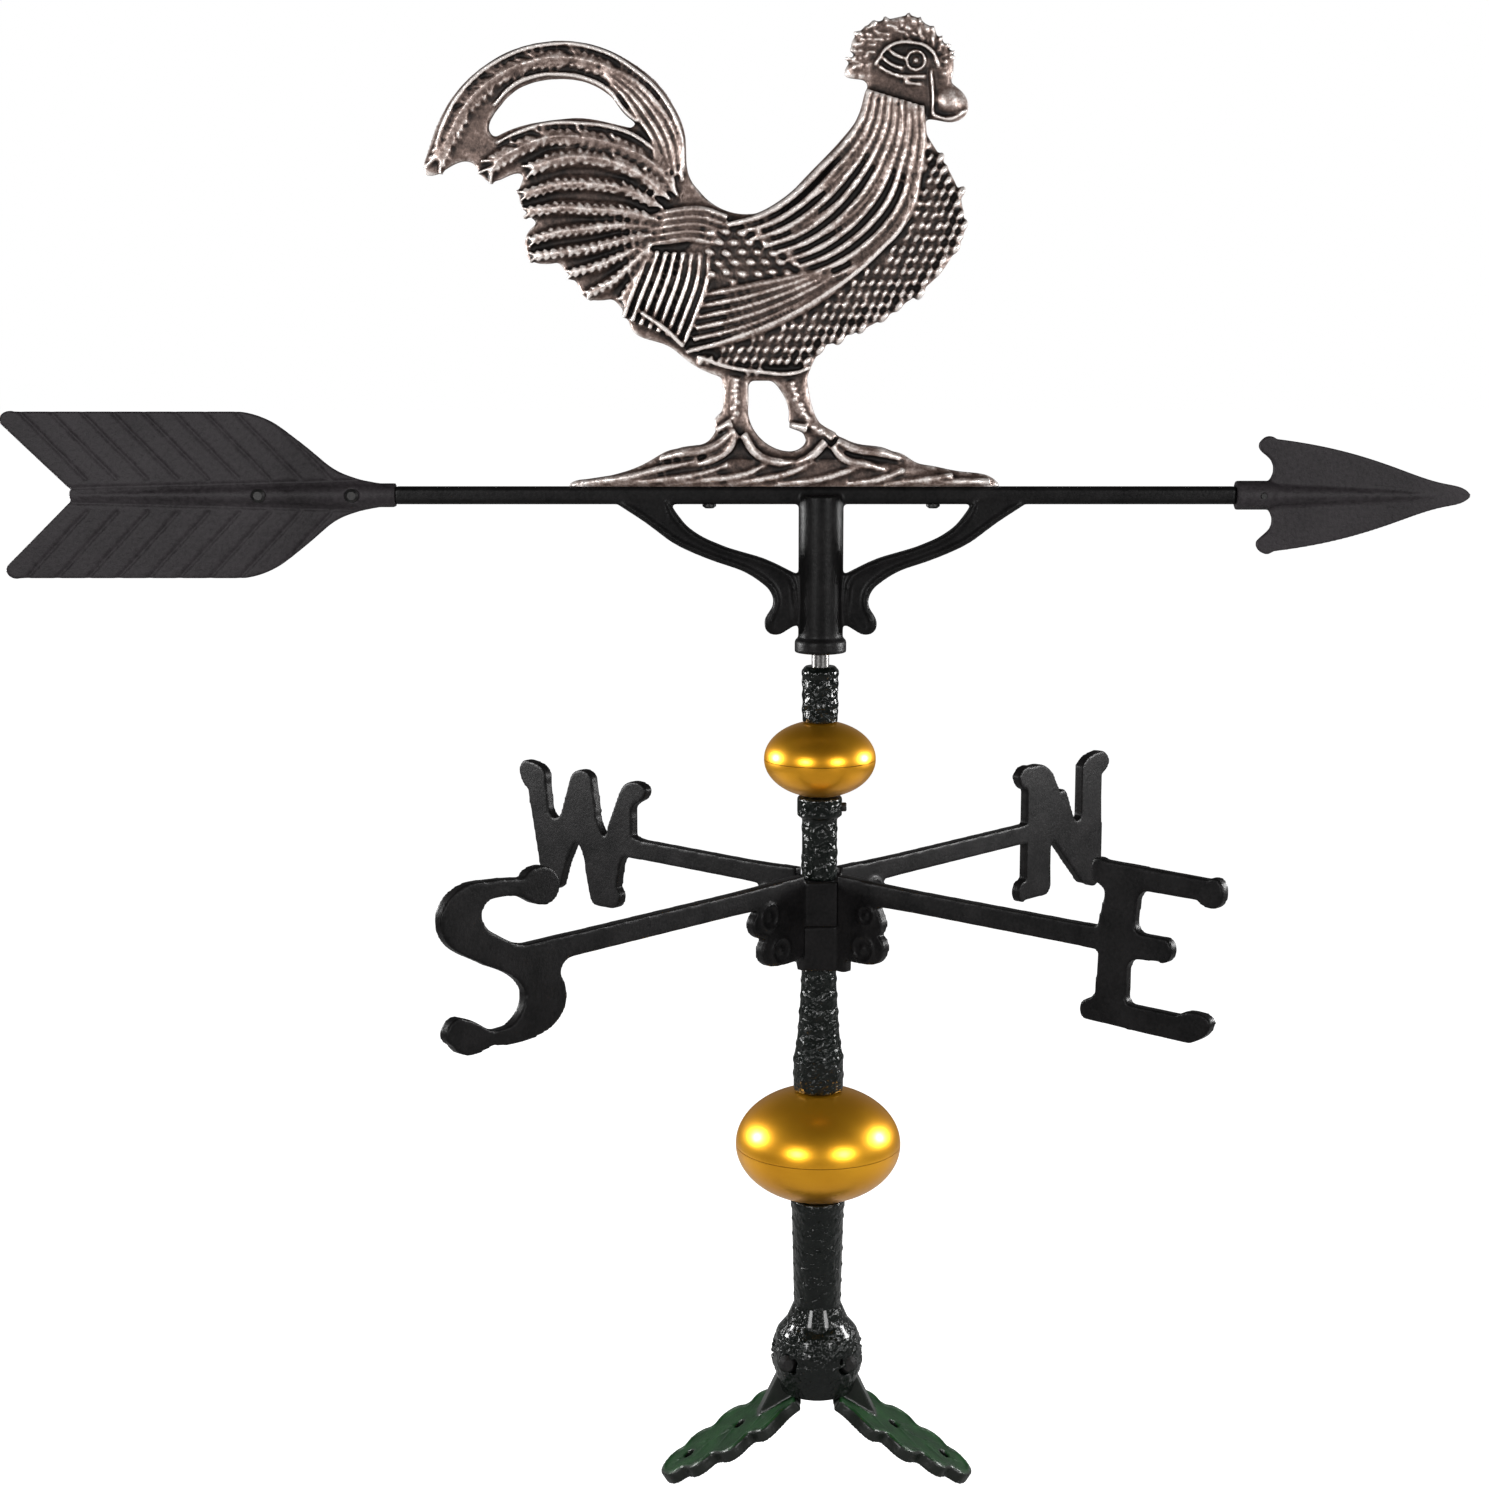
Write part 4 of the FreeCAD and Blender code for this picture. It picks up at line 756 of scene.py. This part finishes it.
def makeCompassCasting(node, name, turn, rings):
    parts = [castingFrom(node, name)]
    for x, z, radius in rings:
        for side in (1, -1):
            place = (side * x * mm, 0, armLevel + z * mm)
            bpy.ops.mesh.primitive_torus_add(major_radius=radius * mm, minor_radius=scroll["ringWidth"] * mm,
                                             major_segments=40, minor_segments=10, location=place,
                                             rotation=(math.pi / 2, 0, 0))
            ring = bpy.context.object
            settle(ring)
            bpy.ops.transform.resize(value=(1, scroll["ringDepth"] / scroll["ringWidth"], 1),
                                     center_override=(0, 0, 0))
            boss = pebble(place, (scroll["boss"], scroll["ringDepth"], scroll["boss"]))
            for piece in (ring, boss):
                settle(piece)
                piece.rotation_euler = (0, 0, math.radians(turn))
                settle(piece)
                parts.append(piece)
    whole = fuse(parts, scroll["voxel"], 1)
    finish(whole, "mast", "black_enamel", node)
    print(name + ":", len(whole.data.polygons), "faces")


for node, casting in compass.items():
    makeCompassCasting(node, **casting)


sleeves = {  # rows of hammer marks: up from the sleeve's foot, and the sleeve's radius there
    "lower_sleeve": {"name": "lowerSleeve", "columns": 8, "jitter": 0.08,
                     "rows": [(8.5, 13.8), (17.5, 13.8), (26.5, 12.2), (35.5, 11.3), (44.5, 10.7),
                              (53.5, 10.1), (62.5, 9.65)]},
    "middle_sleeve": {"name": "middleSleeve", "columns": 9, "jitter": 0.3,
                      "rows": [(4.6, 9.6), (10.6, 9.6), (16.6, 9.6), (22.6, 9.6), (28.6, 9.6)]},
    "upper_sleeve": {"name": "upperSleeve", "columns": 9, "jitter": 0.3,
                     "rows": [(4.6, 9.6), (10.6, 9.6), (16.6, 9.6), (21.6, 9.6)]},
}
sleeveMark = {"size": 3.6, "proud": 0.75, "voxel": 0.7}
studStagger = 0.15  # every other ring turns by this share of a column
studStray = 8       # up and down, for a jitter of one
post = {"foot": 54, "footRadius": 13.2, "top": 109.5, "topRadius": 14.6, "rows": 6, "columns": 9,
        "markSize": 2.3, "markProud": 0.65, "markJitter": 0.1,
        "knuckle": 25.5, "knuckleLevel": 24, "voxel": 0.7,
        "bumps": 560, "bumpSizes": (1.15, 1.8), "bumpSunk": 0.35,  # sunk by a share of their size
        "bumpHeights": (-0.6, 0.85)}  # shares of the knuckle's radius


def studs(rows, columns, size, proud, jitter):  # shallow bumps in rings, proud of the tube
    made = []
    for index, (level, radius) in enumerate(rows):
        for column in range(columns):
            angle = math.tau * (column + studStagger * (index % 2)) / columns - math.pi / 2
            angle += random.uniform(-jitter, jitter)
            reach = (radius + proud - size) * mm
            height = level + random.uniform(-studStray, studStray) * jitter * mm
            place = (math.cos(angle) * reach, math.sin(angle) * reach, height)
            made.append(pebble(place, (size, size, size * random.uniform(1, 1 + 2 * jitter))))
    return made


def makeSleeves():
    for node, sleeve in sleeves.items():
        rows = [(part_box(node)[0].z + up * mm, radius) for up, radius in sleeve["rows"]]
        marks = studs(rows, sleeve["columns"], sleeveMark["size"], sleeveMark["proud"], sleeve["jitter"])
        whole = fuse([castingFrom(node, sleeve["name"])] + marks, sleeveMark["voxel"], 2)
        finish(whole, "mast", "hammered_black", node)
        print(sleeve["name"] + ":", len(whole.data.polygons), "faces")


def makePost():
    rows = []
    for row in range(post["rows"]):
        share = (row + 0.5) / post["rows"]
        level = post["foot"] + (post["top"] - post["foot"]) * share
        rows.append((level * mm, post["footRadius"] + (post["topRadius"] - post["footRadius"]) * share))
    parts = [castingFrom("base_post", "basePost")]
    parts += studs(rows, post["columns"], post["markSize"], post["markProud"], post["markJitter"])
    for _ in range(post["bumps"]):
        around = random.uniform(0, math.tau)
        up = random.uniform(*post["bumpHeights"])
        flat = math.sqrt(1 - up * up)
        size = random.uniform(*post["bumpSizes"])
        radius = (post["knuckle"] - size * post["bumpSunk"]) * mm
        place = (math.cos(around) * flat * radius, math.sin(around) * flat * radius,
                 post["knuckleLevel"] * mm + up * radius)
        parts.append(pebble(place, (size, size, size), 0, 1))
    whole = fuse(parts, post["voxel"], 1)
    finish(whole, "mast", "hammered_black", "base_post")
    print("base post:", len(whole.data.polygons), "faces")


makeSleeves()
makePost()


leaf = {
    "slope": 32, "pivotReach": 17, "pivotLevel": 24, "start": 9, "length": 90, "width": 52, "thickness": 7,
    "voxel": 0.9,
    "lobes": [(0.10, 0.32), (0.20, 0.47), (0.27, 0.50), (0.34, 0.40), (0.44, 0.50), (0.54, 0.49),
              (0.62, 0.36), (0.70, 0.41), (0.78, 0.38), (0.84, 0.27), (0.90, 0.27), (0.96, 0.19), (1, 0)],
    "veins": [(28, 44, 20), (50, 66, 19), (68, 82, 13)],
    "ribs": [[(22, 0), (40, 0)], [(52, 0), (74, 0)], [(86, 0), (94, 0)]],  # along the middle
    "rimInset": 2.2, "tipInset": 3, "veinRoot": 3, "sunk": 1,
    "rimWidth": 1.5, "rimDepth": 1.9, "veinWidth": 1.2, "veinDepth": 1.8,
}


def onLeaf(place):  # on the top of a leaf that lies flat under its pivot
    slope = math.radians(leaf["slope"])
    drop = leaf["pivotLevel"] * math.cos(slope) + leaf["pivotReach"] * math.sin(slope)
    return (place[0] * mm, place[1] * mm, (leaf["thickness"] - drop - leaf["sunk"]) * mm)


def makeLeg(node, name, side):
    inset = leaf["rimInset"]
    rim = [(leaf["start"] + leaf["length"] * along - inset * along, leaf["width"] * wide - inset)
           for along, wide in leaf["lobes"][:-1]]
    tip = [(leaf["start"] + leaf["length"] - leaf["tipInset"], 0)]
    around = rim + tip + [(x, -y) for x, y in reversed(rim)]
    veins = [[(start, leaf["veinRoot"] * turn), (end, wide * turn)]
             for start, end, wide in leaf["veins"] for turn in (1, -1)]
    details = strands(name + "Rim", [around], leaf["rimWidth"], leaf["rimDepth"], onLeaf, 2, (1, 1))
    lines = strands(name + "Veins", veins + leaf["ribs"], leaf["veinWidth"], leaf["veinDepth"], onLeaf, 2,
                    (1, 0.5))
    for piece in (details, lines):
        piece.rotation_euler = (0, math.radians(leaf["slope"]), 0)
        settle(piece)
        piece.rotation_euler = (0, 0, 0 if side > 0 else math.pi)
        piece.location = (side * leaf["pivotReach"] * mm, 0, leaf["pivotLevel"] * mm)
        settle(piece)
    whole = fuse([castingFrom(node, name), details, lines], leaf["voxel"], 1)
    finish(whole, node, "leaf_green", node)
    print(name + ":", len(whole.data.polygons), "faces")


makeLeg("right_leg", "rightLeafLeg", 1)
makeLeg("left_leg", "leftLeafLeg", -1)


camera = {"place": (-0.0411, -1.3543, 0.5943), "tilt": -9.28, "lens": 60.9}
lamps = [  # azimuth from the camera's side, height, distance, size, watts
    {"azimuth": -31, "height": 0.72, "away": 1.7, "size": 0.42, "power": 18},
    {"azimuth": 35, "height": 0.72, "away": 1.7, "size": 0.45, "power": 18},
    {"azimuth": -104, "height": 0.46, "away": 0.85, "size": 0.22, "power": 11},
    {"azimuth": 102, "height": 0.46, "away": 0.85, "size": 0.22, "power": 11},
]
aim = Vector((0, 0, 0.36))


def makeStage():
    bpy.ops.object.camera_add(location=camera["place"], rotation=(math.radians(90 + camera["tilt"]), 0, 0))
    eye = bpy.context.object
    eye.data.lens = camera["lens"]
    eye.data.sensor_width = 36
    bpy.context.scene.camera = eye
    for lamp in lamps:
        angle = math.radians(lamp["azimuth"])
        place = Vector((math.sin(angle) * lamp["away"], -math.cos(angle) * lamp["away"], lamp["height"]))
        bpy.ops.object.light_add(type="AREA", location=place)
        light = bpy.context.object
        light.data.shape = "DISK"
        light.data.size = lamp["size"]
        light.data.energy = lamp["power"]
        light.rotation_euler = (aim - place).to_track_quat("-Z", "Y").to_euler()
    bpy.ops.mesh.primitive_plane_add(size=40, location=(0, 0, cadLow.z - 0.0005))
    floor = bpy.context.object
    floor.name = "floor"
    pale = Look("paleFloor", Roughness=0.9)
    pale.set("Base Color", pale.ramp(pale.noise(3), [(0.3, (0.3, 0.3, 0.3)), (0.7, (0.34, 0.34, 0.34))]))
    seen = pale.node("ShaderNodeLightPath", {}, {}, "Is Camera Ray")
    pale.set("Emission Color", pale.node("ShaderNodeMix", {"data_type": "RGBA"},
                                         {"Factor": seen, "A": (0, 0, 0), "B": (1, 1, 1)}, "Result"))
    pale.set("Emission Strength", 1)
    floor.data.materials.append(pale.material)

    world = bpy.data.worlds.new("studio")
    bpy.context.scene.world = world
    world.use_nodes = True
    nodes, links = world.node_tree.nodes, world.node_tree.links
    nodes.clear()
    seen = nodes.new("ShaderNodeBackground")
    seen.inputs["Color"].default_value = (1, 1, 1, 1)
    lit = nodes.new("ShaderNodeBackground")
    way = nodes.new("ShaderNodeTexCoord")
    split = nodes.new("ShaderNodeSeparateXYZ")
    sky = nodes.new("ShaderNodeValToRGB")
    sky.color_ramp.elements[0].position = 0.05
    sky.color_ramp.elements[0].color = (0.2, 0.2, 0.2, 1)
    sky.color_ramp.elements[1].position = 0.7
    sky.color_ramp.elements[1].color = (0.03, 0.03, 0.03, 1)
    links.new(way.outputs["Generated"], split.inputs[0])
    links.new(split.outputs["Z"], sky.inputs["Fac"])
    links.new(sky.outputs["Color"], lit.inputs["Color"])
    path = nodes.new("ShaderNodeLightPath")
    mix = nodes.new("ShaderNodeMixShader")
    output = nodes.new("ShaderNodeOutputWorld")
    links.new(path.outputs["Is Camera Ray"], mix.inputs["Fac"])
    links.new(lit.outputs[0], mix.inputs[1])
    links.new(seen.outputs[0], mix.inputs[2])
    links.new(mix.outputs[0], output.inputs["Surface"])
    bpy.context.scene.view_settings.view_transform = "Standard"


makeStage()
print("stage: camera, lamps and floor")
